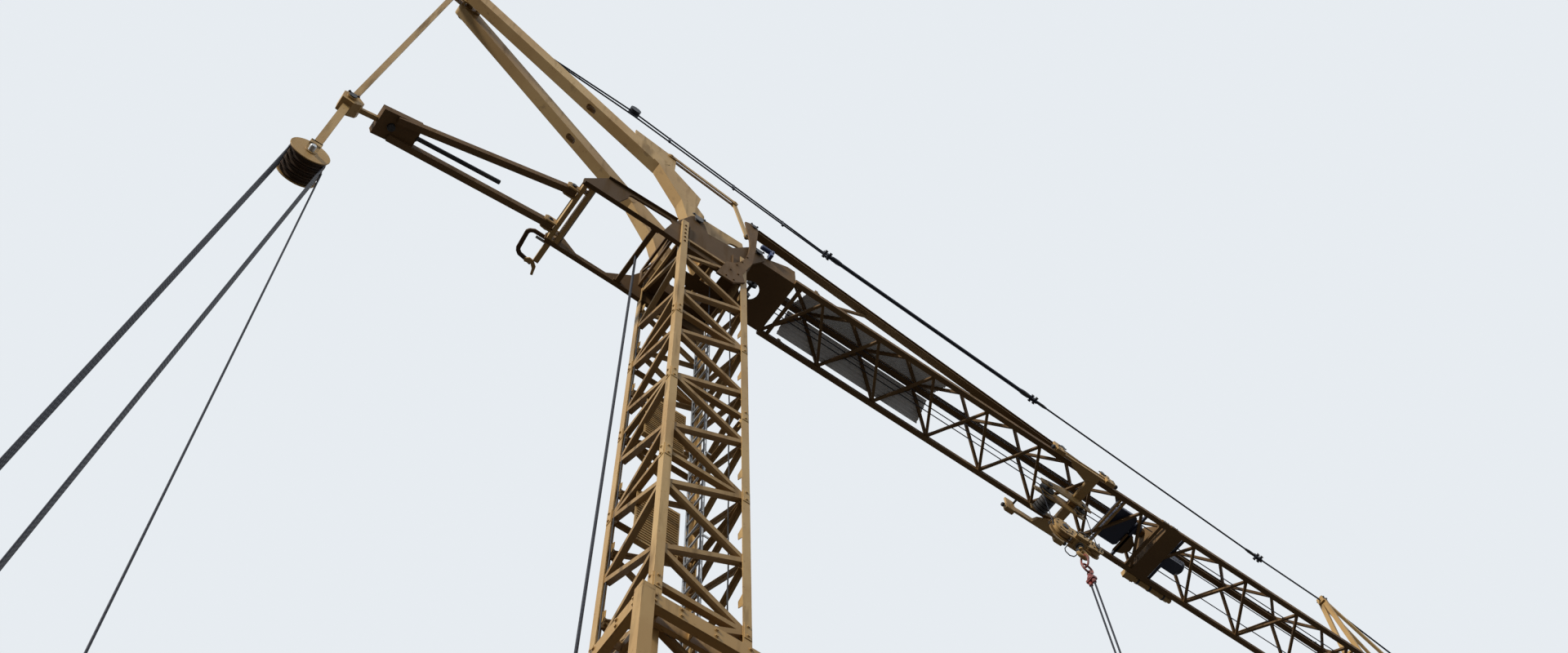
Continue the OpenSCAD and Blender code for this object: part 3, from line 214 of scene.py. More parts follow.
def weathering_group():
    """Faded patches, rain streaks, painted shade on undersides and rust chips on worn edges."""
    group, first, last = new_group(
        "weathering",
        [
            ("Paint", "NodeSocketColor", OCHRE),
            ("Faded", "NodeSocketColor", OCHRE_FADED),
            # The third colour both stains the streaks and paints shade on downward-facing faces.
            ("Dirt and shade", "NodeSocketColor", OCHRE_DIRT_AND_SHADE),
            ("Rust", "NodeSocketColor", RUST),
            ("Grime and shade amount", "NodeSocketFloat", 0.6),
            ("Rust amount", "NodeSocketFloat", 0.5),
            ("Base roughness", "NodeSocketFloat", 0.45),
        ],
        [("Color", "NodeSocketColor"), ("Roughness", "NodeSocketFloat"), ("Height", "NodeSocketFloat")],
    )
    link = group.links.new
    given = first.outputs
    patches = ramp(group, noise(group, scale=0.9, detail=5.0), low=0.38, high=0.62)
    painted = mix_colour(group, patches, given["Paint"], given["Faded"])
    streaks = ramp(group, noise(group, scale=1.0, detail=5.0, stretch=(7.0, 7.0, 0.9)), low=0.50, high=0.74)
    geometry = group.nodes.new("ShaderNodeNewGeometry")
    split = group.nodes.new("ShaderNodeSeparateXYZ")
    link(geometry.outputs["Normal"], split.inputs[0])
    # Painted shade: faces that point downwards are darkened towards the stain colour, more the further they
    # face down.
    underside_shade = ramp(group, math_node(group, "MULTIPLY", split.outputs["Z"], -1.0), low=0.1, high=1.0)
    streaks_and_underside_shade = math_node(group, "MAXIMUM", streaks, math_node(group, "MULTIPLY", underside_shade, 0.55))
    streaks_and_underside_shade = math_node(group, "MULTIPLY", streaks_and_underside_shade, given["Grime and shade amount"])
    stained_and_shaded = mix_colour(group, streaks_and_underside_shade, painted, given["Dirt and shade"])
    bevel = group.nodes.new("ShaderNodeBevel")
    bevel.samples = 4
    bevel.inputs["Radius"].default_value = 0.014
    along = group.nodes.new("ShaderNodeVectorMath")
    along.operation = "DOT_PRODUCT"
    link(bevel.outputs["Normal"], along.inputs[0])
    link(geometry.outputs["Normal"], along.inputs[1])
    edge = ramp(group, math_node(group, "SUBTRACT", 1.0, along.outputs["Value"]), low=0.02, high=0.20)
    chips = ramp(group, noise(group, scale=9.0, detail=8.0), low=0.52, high=0.60)
    spots = ramp(group, noise(group, scale=26.0, detail=6.0), low=0.66, high=0.72)
    worn = math_node(group, "MAXIMUM", math_node(group, "MULTIPLY", edge, chips), spots)
    worn = math_node(group, "MULTIPLY", worn, given["Rust amount"])
    link(mix_colour(group, worn, stained_and_shaded, given["Rust"]), last.inputs["Color"])
    grimy = math_node(group, "MULTIPLY", streaks_and_underside_shade, 0.3)
    rusty = math_node(group, "MULTIPLY", worn, 0.35)
    rough = math_node(group, "ADD", given["Base roughness"], grimy)
    link(math_node(group, "ADD", rough, rusty), last.inputs["Roughness"])
    orange_peel = math_node(group, "MULTIPLY", noise(group, scale=120.0, detail=2.0), 0.12)
    chipped = math_node(group, "MULTIPLY", worn, 0.6)
    link(math_node(group, "SUBTRACT", orange_peel, chipped), last.inputs["Height"])
    return group


weathering = weathering_group()


def new_material(name):
    """An empty material with its shader."""
    material = bpy.data.materials.new(name)
    material.use_nodes = True
    tree = material.node_tree
    shader = tree.nodes["Principled BSDF"]
    return material, tree, shader


def weathered(
    name,
    paint,
    faded,
    dirt_and_shade,
    rust=RUST,
    grime_and_shade_amount=0.6,
    rust_amount=0.5,
    roughness=0.45,
    metallic=0.0,
    gloss=0.5,
):
    """A painted or bare metal with the weathering group's wear, and its painted shade on downward-facing
    faces.
    """
    material, tree, shader = new_material(name)
    wear = tree.nodes.new("ShaderNodeGroup")
    wear.node_tree = weathering
    set_values(wear, {"Paint": paint, "Faded": faded, "Dirt and shade": dirt_and_shade, "Rust": rust})
    set_values(wear, {"Grime and shade amount": grime_and_shade_amount, "Rust amount": rust_amount, "Base roughness": roughness})
    tree.links.new(wear.outputs["Color"], shader.inputs["Base Color"])
    tree.links.new(wear.outputs["Roughness"], shader.inputs["Roughness"])
    add_bump(tree, shader, wear.outputs["Height"], strength=0.35, distance=0.004)
    set_values(shader, {"Metallic": metallic, "Specular IOR Level": gloss})
    return material


ochre = weathered("ochre_paint", OCHRE, OCHRE_FADED, OCHRE_DIRT_AND_SHADE, roughness=0.5, gloss=0.3)
ochre_platform = weathered(
    "ochre_platform_paint", OCHRE, OCHRE_FADED, OCHRE_DIRT_AND_SHADE, grime_and_shade_amount=0.8, rust_amount=0.8
)
# Mast lacing: the ochre darkened as painted shade.
lacing_shaded_ochre = weathered("lacing_painted_shade", MAST_FACE_SHADED_OCHRE, MAST_FACE_SHADED_FADED, OCHRE_DIRT_AND_SHADE, roughness=0.55, gloss=0.2)
# Jib paint, also used on the jib's fittings: the ochre darkened as painted shade.
brown = weathered("jib_painted_shade", SHADED_OCHRE, SHADED_OCHRE_FADED, OCHRE_DIRT_AND_SHADE, rust_amount=0.35, roughness=0.6, gloss=0.12)
# Head paint: the ochre darkened further, as painted shade.
head_shaded_ochre = weathered(
    "head_painted_shade", HEAD_SHADED_OCHRE, HEAD_SHADED_FADED, OCHRE_DIRT_AND_SHADE, rust_amount=0.35, roughness=0.6, gloss=0.1
)
brown_dark = weathered(
    "guard_paint", GUARD_BROWN, SHADED_OCHRE, ROPE_GREASE, rust_amount=0.4, roughness=0.6, gloss=0.15
)
sheave_brown = weathered("sheave_brown", SHEAVE_BROWN, SHEAVE_WORN, ROPE_GREASE, roughness=0.6, gloss=0.2)
dark_steel = weathered(
    "dark_steel", STEEL_DARK, STEEL_WORN, ROPE_GREASE, rust_amount=0.4, roughness=0.5, metallic=0.6
)
zinc = weathered("zinc", ZINC, ZINC_DULL, ZINC_DIRT_AND_SHADE, rust_amount=0.2, roughness=0.5, metallic=0.7)
cladding = weathered(
    "cladding", PANEL_GREY, PANEL_DULL, PANEL_DIRT_AND_SHADE, grime_and_shade_amount=0.25, rust_amount=0.0, roughness=0.5
)
motor_blue = weathered(
    "motor_blue", MOTOR_BLUE, MOTOR_BLUE_WORN, ROPE_GREASE, rust_amount=0.3, roughness=0.4
)
motor_bright = weathered("root_motor_blue", ROOT_BLUE, ROOT_BLUE_WORN, ROPE_GREASE, roughness=0.4)
hook_paint = weathered("hook_paint", HOOK_RED, STEEL_WORN, ROPE_GREASE, rust_amount=0.8)
coupling_red = weathered("coupling_red", COUPLING_RED, COUPLING_WORN, ROPE_GREASE, roughness=0.4)
rubber = weathered("rubber", RUBBER, RUBBER_WORN, RUBBER_DUST_AND_SHADE, rust_amount=0.0, roughness=0.7)
concrete = weathered(
    "concrete",
    CONCRETE,
    CONCRETE_PALE,
    CONCRETE_STAIN_AND_SHADE,
    rust=CONCRETE_STAIN_AND_SHADE,
    grime_and_shade_amount=0.7,
    rust_amount=0.5,
    roughness=0.8,
)


def wire_rope():
    """Greased wire rope, with the slanted strands of its lay."""
    material, tree, shader = new_material("wire_rope")
    place = tree.nodes.new("ShaderNodeTexCoord").outputs["Object"]
    wave = tree.nodes.new("ShaderNodeTexWave")
    wave.bands_direction = "DIAGONAL"
    set_values(wave, {"Scale": 9.0, "Distortion": 0.6})
    tree.links.new(place, wave.inputs["Vector"])
    strands = wave.outputs["Fac"]
    tree.links.new(mix_colour(tree, strands, ROPE_GREASE, ROPE_STEEL), shader.inputs["Base Color"])
    rough = math_node(tree, "ADD", 0.35, math_node(tree, "MULTIPLY", strands, 0.2))
    tree.links.new(rough, shader.inputs["Roughness"])
    set_values(shader, {"Metallic": 0.15, "Specular IOR Level": 0.25})
    add_bump(tree, shader, strands, strength=0.4, distance=0.002)
    return material


rope = wire_rope()

# Which finish each CAD node takes
FINISH = {
    "ballast": concrete,
    "steel_rope": rope,
    "galvanised_steel": zinc,
    "dark_steel": dark_steel,
    "hook_steel": hook_paint,
    "ochre_paint": ochre,
    "cabinet_paint": ochre,
}
OTHER_FINISH = {
    "jib_side_panels": cladding,
    "trolley_drive": motor_blue,
    "chassis_frame": ochre_platform,
    "outrigger_arms": ochre_platform,
    "platform_frame": ochre_platform,
    "sling": rope,
}
JIB_PARTS = ("jib_chords", "jib_lacing", "bulkheads", "folding_strut", "jib_root", "jib_tip")
PAINTED_SHADE_PARTS = JIB_PARTS + ("head_horns", "fork_strut")
HEAD_PARTS = ("head_side", "head_cross")
slots = {part["node"]: part["material_slot"] for part in frame["record"]["subparts"]}


def paint_nodes():
    """Gives each CAD node its finish."""
    for name, obj in nodes.items():
        material = OTHER_FINISH.get(name, FINISH[slots[name]])
        # The jib, its strut, the horns and the fork strut take the darkened ochre, as painted shade.
        if any(word in name for word in PAINTED_SHADE_PARTS):
            material = brown
        # The mast faces take the darker lacing ochre, as painted shade.
        if name.startswith(("upper_mast", "lower_mast")) and "face" in name:
            material = lacing_shaded_ochre
        # The head's side plates and cross frames take the darkest ochre, as painted shade.
        if any(word in name for word in HEAD_PARTS):
            material = head_shaded_ochre
        obj.data.materials.clear()
        obj.data.materials.append(material)


paint_nodes()


def clear_selection():
    """Leaves edit mode and deselects everything."""
    if bpy.context.object and bpy.context.object.mode != "OBJECT":
        bpy.ops.object.mode_set(mode="OBJECT")
    bpy.ops.object.select_all(action="DESELECT")


def choose(obj):
    """Makes one object the only selected one."""
    clear_selection()
    obj.select_set(True)
    bpy.context.view_layer.objects.active = obj


def settle(obj):
    """Moves an object's place, turn and size into its mesh."""
    choose(obj)
    bpy.ops.object.transform_apply(location=True, rotation=True, scale=True)


def edit_all(obj):
    """Opens an object for editing, with all of its mesh selected."""
    choose(obj)
    bpy.ops.object.mode_set(mode="EDIT")
    bpy.ops.mesh.select_all(action="SELECT")


def clean_normals(obj):
    """Merges doubles and points all faces outwards."""
    edit_all(obj)
    bpy.ops.mesh.remove_doubles(threshold=0.00005)
    bpy.ops.mesh.normals_make_consistent(inside=False)
    bpy.ops.object.mode_set(mode="OBJECT")


def apply_modifiers(obj):
    """Turns an object's modifiers into mesh."""
    choose(obj)
    for modifier in list(obj.modifiers):
        bpy.ops.object.modifier_apply(modifier=modifier.name)


def round_edges(obj, width, segments=2):
    """Bevels the sharp edges."""
    bevel = obj.modifiers.new("edges", "BEVEL")
    bevel.width = width
    bevel.segments = segments
    bevel.limit_method = "ANGLE"
    apply_modifiers(obj)


def block(corner, opposite, edge=0.004):
    """A plate or block between any two opposite corners, with softened edges."""
    clear_selection()
    centre = [(a + b) / 2 for a, b in zip(corner, opposite)]
    bpy.ops.mesh.primitive_cube_add(size=1.0, location=centre)
    obj = bpy.context.object
    obj.scale = [abs(b - a) for a, b in zip(corner, opposite)]
    settle(obj)
    if edge:
        round_edges(obj, edge)
    return obj


def aim(obj, a, towards):
    """Stands an object that was made along Z on a point, turned along a direction."""
    turn = Vector(towards).normalized().to_track_quat("Z", "Y").to_matrix().to_4x4()
    obj.data.transform(Matrix.Translation(Vector(a)) @ turn)
    return obj


def new_circle(sides, radius, fill, z=0.0):
    """A circle of straight sides, as the start of a shape."""
    clear_selection()
    bpy.ops.mesh.primitive_circle_add(vertices=sides, radius=radius, fill_type=fill, location=(0, 0, z))
    return bpy.context.object


def hex_prism(radius, height, z, edge):
    """A bolt head or nut on the Z axis, with broken edges."""
    clear_selection()
    bpy.ops.mesh.primitive_cylinder_add(vertices=6, radius=radius, depth=height, location=(0, 0, z))
    obj = bpy.context.object
    settle(obj)
    round_edges(obj, edge, 1)
    return obj


def lathe(profile, a, towards, sides=24):
    """Turns (radius, distance) pairs round the line from a point along a direction, from a circle on."""
    rings = [(radius, distance) for radius, distance in profile if radius > 0]
    capped = profile[0][0] == 0
    obj = new_circle(sides, rings[0][0], "NGON" if capped else "NOTHING", rings[0][1])
    settle(obj)
    edit_all(obj)
    for (last_radius, last_distance), (radius, distance) in zip(rings, rings[1:]):
        step = {"value": (0, 0, distance - last_distance)}
        if capped:
            bpy.ops.mesh.extrude_region_move(TRANSFORM_OT_translate=step)
        else:
            bpy.ops.mesh.extrude_edges_move(TRANSFORM_OT_translate=step)
        ratio = radius / last_radius
        bpy.ops.transform.resize(value=(ratio, ratio, 1.0), center_override=(0, 0, distance))
    bpy.ops.object.mode_set(mode="OBJECT")
    clean_normals(obj)
    choose(obj)
    bpy.ops.object.shade_smooth_by_angle(angle=math.radians(35))
    return aim(obj, a, towards)


def disc(radius, thickness, edge=0.003):
    """The lathe profile of a round plate or drum with broken edges."""
    return (
        (0.0, 0.0),
        (radius - edge, 0.0),
        (radius, edge),
        (radius, thickness - edge),
        (radius - edge, thickness),
        (0.0, thickness),
    )


def tube_profile(inner, outer, length):
    """The lathe profile of a sleeve."""
    return ((inner, 0.0), (outer, 0.0), (outer, length), (inner, length), (inner, 0.0))


def sheave_profile(rim, root, width, lip, slope):
    """The lathe profile of a rope sheave: a groove between two lips."""
    return (
        (0.0, 0.0),
        (rim, 0.0),
        (rim, lip),
        (root, lip + slope),
        (root, width - lip - slope),
        (rim, width - lip),
        (rim, width),
        (0.0, width),
    )


def cut_plate(outline, axis, start, end, edge=0.003):
    """A flat plate cut to an outline. It is thick along one axis, and the outline runs across it."""
    low, high = sorted((start, end))
    obj = new_circle(len(outline), 1.0, "NGON")
    for vertex, (u, v) in zip(obj.data.vertices, outline):
        vertex.co = {"x": (low, u, v), "y": (u, low, v), "z": (u, v, low)}[axis]
    edit_all(obj)
    step = {"x": (high - low, 0, 0), "y": (0, high - low, 0), "z": (0, 0, high - low)}[axis]
    bpy.ops.mesh.extrude_region_move(TRANSFORM_OT_translate={"value": step})
    bpy.ops.mesh.select_all(action="SELECT")
    bpy.ops.mesh.normals_make_consistent(inside=False)
    bpy.ops.object.mode_set(mode="OBJECT")
    if edge:
        round_edges(obj, edge, 1)
    return obj


def wire(points, radius, sides=6, closed=False):
    """A round wire or rope through points, as a mesh."""
    data = bpy.data.curves.new("wire", "CURVE")
    data.dimensions = "3D"
    spline = data.splines.new("POLY")
    spline.points.add(len(points) - 1)
    for point, place in zip(spline.points, points):
        point.co = (*place, 1.0)
    spline.use_cyclic_u = closed
    data.bevel_depth = radius
    data.bevel_resolution = max(0, sides // 2 - 2)
    data.use_fill_caps = True
    obj = bpy.data.objects.new("wire", data)
    scene.collection.objects.link(obj)
    choose(obj)
    bpy.ops.object.convert(target="MESH")
    return bpy.context.object


def copies(obj, moves):
    """Copies of a shape, each with its own mesh, moved or turned. The first one is not kept."""
    made = []
    for move in moves:
        other = obj.copy()
        other.data = obj.data.copy()
        matrix = move if isinstance(move, Matrix) else Matrix.Translation(Vector(move))
        other.data.transform(matrix)
        if matrix.determinant() < 0:
            other.data.flip_normals()
        scene.collection.objects.link(other)
        made.append(other)
    bpy.data.objects.remove(obj)
    return made


def joined(parts):
    """Joins shapes into one, with no doubles removed."""
    choose(parts[0])
    for part in parts[1:]:
        part.select_set(True)
    if len(parts) > 1:
        bpy.ops.object.join()
    return bpy.context.object


def mirrored(objects):
    """The shapes and their copies on the other side of the crane's middle plane."""
    flip = Matrix.Diagonal((1, -1, 1, 1))
    return copies(joined(objects), (Matrix(), flip))


def turned(count, step):
    """Turns about Z, each one a step in degrees past the last."""
    return [Matrix.Rotation(math.radians(step * i), 4, "Z") for i in range(count)]


def grid(xs, ys, zs):
    """Every place that has one of the given X, one of the Y and one of the Z."""
    return [(x, y, z) for x in xs for y in ys for z in zs]


def circle(centre, radius, count):
    """Pairs spaced evenly round a circle."""
    angles = [math.tau * i / count for i in range(count)]
    return [(centre[0] + radius * math.cos(a), centre[1] + radius * math.sin(a)) for a in angles]


def arc(centre, radius, start, end, steps):
    """Pairs on part of a circle, from one angle in degrees to another."""
    angles = [math.radians(start + (end - start) * i / steps) for i in range(steps + 1)]
    return [(centre[0] + radius * math.cos(a), centre[1] + radius * math.sin(a)) for a in angles]


def upright(pairs, y):
    """Points in an upright plane along the crane, from pairs of X and Z."""
    return [(x, y, z) for x, z in pairs]


def bolts(places, axis, radius=0.018):
    """Bolt heads on washers at places, all along one axis."""
    thickness = radius * 0.25
    height = radius * 0.8
    washer = lathe(disc(radius * 1.45, thickness, radius * 0.05), (0, 0, 0), UP, 14)
    head = hex_prism(radius, height, thickness + height / 2, radius * 0.1)
    return copies(aim(joined([washer, head]), (0, 0, 0), axis), places)


def piece(name, parts, material, body, replaces=()):
    """Joins shapes into one named piece of the crane."""
    obj = joined(parts)
    obj.name = name
    obj.data.name = name
    obj.data.materials.clear()
    obj.data.materials.append(material)
    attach(obj, body)
    if replaces:
        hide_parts(*replaces)
    return obj


def pin_cap(x, z, y, side, radius):
    """The end cap of a pin on a plate's outer face, with its keeper plate and two bolts."""
    face = y + side * 0.012
    parts = [lathe(disc(radius, 0.016, 0.005), (x, y, z), (0, side, 0), 28)]
    keeper_low = (x - radius * 1.5, y, z + radius * 0.8)
    parts.append(block(keeper_low, (x + radius * 1.5, face, z + radius * 1.35), 0.003))
    places = [(x + end * radius * 1.15, face, z + radius * 1.08) for end in (-1, 1)]
    return parts + bolts(places, (0, side, 0), 0.013)


def pin_caps(x, z, y, radius):
    """A pin's caps on both sides of the middle plane."""
    parts = []
    for side in (-1, 1):
        parts += pin_cap(x, z, side * y, side, radius)
    return parts


# Mast: ladder, splices, gussets, cables and the collar
LADDER_X = 0.42
LADDER_SIDES = (0.120, 0.480)
LADDER_BAYS = 75
RUNG_STEP = 0.30
FOOT_SHEAVE = (0.055, 1.735)
HOIST_ROPE_Y = -0.20


def ladder_rail_bay(y, side):
    """One bay of a channel rail whose web has an oval slot."""
    count = 16
    outer = new_circle(count, 1.0, "NOTHING")
    inner = new_circle(count, 1.0, "NOTHING")
    for i in range(count):
        angle = i * math.tau / count
        u, v = math.cos(angle), math.sin(angle)
        reach = max(abs(u), abs(v))
        outer.data.vertices[i].co = (LADDER_X + 0.020 * u / reach, y, 0.150 * v / reach)
        inner.data.vertices[i].co = (LADDER_X + 0.010 * u, y, 0.055 * v)
    rail = joined([outer, inner])
    bpy.ops.object.mode_set(mode="EDIT")
    bpy.ops.mesh.select_all(action="SELECT")
    bpy.ops.mesh.bridge_edge_loops()
    bpy.ops.mesh.select_all(action="SELECT")
    bpy.ops.mesh.extrude_region_move(TRANSFORM_OT_translate={"value": (0, side * 0.004, 0)})
    bpy.ops.object.mode_set(mode="OBJECT")
    clean_normals(rail)
    flanges = [block((x, y, -0.15), (x + 0.004, y + side * 0.024, 0.15), 0.0) for x in (0.400, 0.436)]
    return joined([rail] + flanges)


def ladder():
    """The climbing ladder: two slotted channel rails, rungs and stand-off brackets."""
    low_side, high_side = LADDER_SIDES
    moves = [(0, 0, DECK_TOP + 0.16 + RUNG_STEP * i) for i in range(LADDER_BAYS)]
    parts = copies(ladder_rail_bay(low_side, 1), moves) + copies(ladder_rail_bay(high_side, -1), moves)
    bar = ((0.0, 0.0), (0.015, 0.0), (0.015, 0.344), (0.0, 0.344))
    parts += copies(lathe(bar, (LADDER_X, low_side + 0.008, RUNG_STEP / 2), LEFTWARDS, 8), moves)
    for level in MODULE_LEVELS:
        for y in (low_side - 0.012, high_side):
            parts.append(block((0.415, y, level - 0.02), (PLATE_OUT, y + 0.012, level + 0.02), 0.002))
    piece("climbing_ladder", parts, zinc, UPPERWORKS, ("mast_ladder",))


def mast_splices():
    """Splice plates with bolts where the mast's sections meet, on all four posts."""
    corner = [
        block((0.600, 0.500, -0.13), (0.608, 0.592, 0.13), 0.002),
        block((0.500, 0.600, -0.13), (0.592, 0.608, 0.13), 0.002),
    ]
    corner += bolts(grid((0.608,), (0.546,), (-0.08, 0.08)), ALONG, 0.016)
    corner += bolts(grid((0.546,), (0.608,), (-0.08, 0.08)), LEFTWARDS, 0.016)
    moves = []
    for level in MODULE_LEVELS:
        for x in (-1, 1):
            for y in (-1, 1):
                moves.append(Matrix.Translation((0, 0, level)) @ Matrix.Diagonal((x, y, 1, 1)))
    piece("mast_splices", copies(joined(corner), moves), ochre, UPPERWORKS)


def mast_gussets():
    """Gusset plates on the inner side of the upper mast's faces, where the bars meet the posts."""
    plate = cut_plate(((0.0, -0.13), (0.0, 0.13), (0.11, 0.06), (0.11, -0.06)), "y", -0.004, 0.004, 0.0)
    inside = 0.544
    quarter = Matrix.Rotation(math.radians(90), 4, "Z")
    moves = []
    for i in range(18):
        side = 1 if i % 2 == 0 else -1
        z = BAR_START + BAR_RISE * i
        if z > HEAD_LOW - 0.15:
            continue
        for face in (-1, 1):
            flip = Matrix.Diagonal((side, 1, 1, 1))
            moves.append(Matrix.Translation((-side * PLATE_OUT, face * inside, z)) @ flip)
            turn = quarter @ Matrix.Diagonal((side * face, 1, 1, 1))
            moves.append(Matrix.Translation((face * inside, -side * face * PLATE_OUT, z)) @ turn)
    piece("mast_gussets", copies(plate, moves), ochre, UPPERWORKS)


def plate_ribs():
    """Pressed ribs on the mast's two inner plates."""
    rib = block((-0.53, 0.020, -0.006), (0.03, 0.030, 0.006), 0.003)
    places = [(0, 0, low + 0.052 * i) for low in (17.18, 19.65) for i in range(19)]
    piece("plate_ribs", copies(rib, places), ochre, UPPERWORKS)


def mast_cables():
    """Two thin cables clipped to the mast, and the hoist rope inside it with its foot sheave."""
    cables = []
    for x, y in ((-0.578, 0.462), (0.462, -0.360)):
        line = [(x + 0.006 * math.sin(1.7 * i), y, 15.0 + 0.45 * i) for i in range(21)]
        cables.append(wire(line, 0.009, 6))
    piece("mast_cables", cables, rubber, UPPERWORKS)
    line = [(HOIST_X, 1.652), (0.05, 1.600)] + arc(FOOT_SHEAVE, 0.135, 280, 360, 6)
    line += [(0.190, 12.0), (0.190, 25.05)]
    piece("hoist_rope", [wire(upright(line, HOIST_ROPE_Y), 0.009, 6)], rope, UPPERWORKS)
    x, z = FOOT_SHEAVE
    wheel = sheave_profile(rim=0.15, root=0.126, width=0.048, lip=0.008, slope=0.012)
    parts = [lathe(wheel, (x, -0.176, z), RIGHTWARDS, 28)]
    parts.append(lathe(disc(0.026, 0.14), (x, -0.13, z), RIGHTWARDS, 16))
    for y in (-0.250, -0.160):
        outline = ((-0.12, DECK_TOP), (0.23, DECK_TOP), (0.13, 1.80), (-0.02, 1.80))
        parts.append(cut_plate(outline, "y", y, y + 0.010))
    piece("mast_foot_sheave", parts, dark_steel, UPPERWORKS)


def telescope_collar():
    """The lower mast's top: channel beams with stiffeners, guide pads and pointed post tops."""
    low, top, out, inside = COLLAR_LOW, BASE_TOP, 0.849, 0.604
    side = [block((-out, -out, low), (out, -out + 0.014, top), 0.003)]
    for z in (low, top - 0.014):
        side.append(block((-out, -out + 0.014, z), (out, -out + 0.100, z + 0.014), 0.003))
    beam_low = (-out + 0.10, -inside - 0.060, low + 0.03)
    side.append(block(beam_low, (out - 0.10, -inside - 0.006, top - 0.03), 0.004))
    for x in (-0.60, -0.20, 0.20, 0.60):
        stiffener_low = (x - 0.006, -out + 0.014, low + 0.014)
        side.append(block(stiffener_low, (x + 0.006, -inside - 0.060, top - 0.014), 0.002))
    for x in (-0.52, 0.52):
        pad_low = (x - 0.06, -inside - 0.020, low + 0.02)
        side.append(block(pad_low, (x + 0.06, -inside - 0.001, top + 0.03), 0.004))
    quarters = turned(4, 90)
    parts = copies(joined(side), quarters)
    cap = [
        block((0.835, 0.715, top - 0.02), (0.865, 0.865, top + 0.06), 0.006),
        block((0.715, 0.835, top - 0.02), (0.835, 0.865, top + 0.06), 0.006),
    ]
    outline = ((0.715, 0.865), (0.715, 0.835), (0.835, 0.715), (0.865, 0.715), (0.865, 0.865))
    cap.append(cut_plate(outline, "z", top + 0.05, top + 0.064))
    cap.append(block((0.72, 0.60, low + 0.02), (0.75, 0.84, top - 0.02), 0.003))
    parts += copies(joined(cap), quarters)
    piece("telescope_collar", parts, ochre, UPPERWORKS, ("lower_mast_collar",))
    bolt_line = grid((-0.70, -0.40, 0.0, 0.40, 0.70), (-out,), (low + 0.05, low + 0.15))
    heads = joined(bolts(bolt_line, RIGHTWARDS, 0.018))
    piece("collar_bolts", copies(heads, quarters), ochre, UPPERWORKS)


ladder()
mast_splices()
mast_gussets()
plate_ribs()
mast_cables()
telescope_collar()


# The undercarriage: ring teeth, jacks, foot pads and arm collars
RING_RADIUS = 0.856
CHASSIS_CORNER = 1.66
FOOT = 2.60
JACK_RADIUS = 0.0698
ARM_LOW = 0.60
ARM_TOP = 0.90
ARM_HALF = 0.16
ARM_END = 3.857
TEETH = 80
THREAD_RADIUS = 0.0765
THREAD_PITCH = 0.022
THREAD_TURNS = 18
feet = grid((-FOOT, FOOT), (-FOOT, FOOT), (0.0,))


def ring_teeth():
    """The slewing ring's outer teeth."""
    tooth = cut_plate(((0.0, -0.022), (0.027, -0.011), (0.027, 0.011), (0.0, 0.022)), "z", 0.955, 1.010, 0.0)
    out = Matrix.Translation(Vector((RING_RADIUS, 0, 0)))
    around = [Matrix.Rotation(math.tau * i / TEETH, 4, "Z") @ out for i in range(TEETH)]
    piece("ring_teeth", copies(tooth, around), dark_steel, UNDERCARRIAGE)


def jacks():
    """The outriggers' jacks: bolted collars over and under the arm, threaded screws and nuts."""
    collar = lathe(tube_profile(JACK_RADIUS, 0.115, 0.05), (0, 0, ARM_TOP), UP, 28)
    foot_collar = lathe(tube_profile(JACK_RADIUS, 0.110, 0.04), (0, 0, ARM_LOW - 0.04), UP, 28)
    holes = [(x, y, ARM_TOP + 0.05) for x, y in circle((0, 0), 0.094, 6)]
    collar_set = joined([collar, foot_collar] + bolts(holes, UP, 0.012))
    piece("jack_collars", copies(collar_set, feet), dark_steel, UNDERCARRIAGE)
    thread = [(0.0, 0.0), (JACK_RADIUS, 0.0)]
    for i in range(THREAD_TURNS):
        low = i * THREAD_PITCH
        thread += [(JACK_RADIUS, low + 0.003), (THREAD_RADIUS, low + 0.009)]
        thread += [(THREAD_RADIUS, low + 0.013), (JACK_RADIUS, low + 0.019)]
    thread.append((0.0, 0.0))
    screw = lathe(thread, (0, 0, 0.15), UP, 28)
    nut = hex_prism(0.062, 0.024, 1.092, 0.004)
    piece("jack_screws", copies(joined([screw, nut]), feet), zinc, UNDERCARRIAGE)


def foot_plates():
    """The jacks' foot plates, with a domed socket and eight ribs."""
    pad = block((-0.40, -0.40, 0.0), (0.40, 0.40, 0.06), 0.012)
    socket = ((0.0, 0.0), (0.15, 0.0), (0.15, 0.025), (0.115, 0.06), (0.0, 0.06))
    dome = lathe(socket, (0, 0, 0.06), UP, 32)
    rib = cut_plate(((0.13, 0.058), (0.37, 0.058), (0.37, 0.068), (0.16, 0.112)), "y", -0.008, 0.008, 0.002)
    plate = joined([pad, dome] + copies(rib, turned(8, 45)))
    piece("foot_plates", copies(plate, feet), dark_steel, UNDERCARRIAGE, ("foot_pads",))


def arm_collars():
    """Frames where the outrigger arms leave the chassis, end plates and stiffeners on the arms."""
    out = ARM_HALF + 0.045
    near, far = CHASSIS_CORNER, CHASSIS_CORNER + 0.03
    end_low = (ARM_END - 0.02, -ARM_HALF - 0.015, ARM_LOW - 0.015)
    parts = [
        block((near, -out, ARM_TOP), (far, out, ARM_TOP + 0.035)),
        block((near, -out, ARM_LOW - 0.035), (far, out, ARM_LOW)),
        block(end_low, (ARM_END + 0.006, ARM_HALF + 0.015, ARM_TOP + 0.015)),
    ]
    for side in (-1, 1):
        face = side * ARM_HALF
        parts.append(block((near, face, ARM_LOW), (far, side * out, ARM_TOP)))
        for x in (2.2, 2.9):
            rib_far = (x + 0.09, face + side * 0.012, ARM_TOP - 0.03)
            parts.append(block((x, face, ARM_LOW + 0.03), rib_far, 0.003))
    diagonals = [Matrix.Rotation(math.radians(45 + 90 * i), 4, "Z") for i in range(4)]
    arms = copies(joined(parts), diagonals)
    piece("arm_collars", arms, ochre_platform, UNDERCARRIAGE)


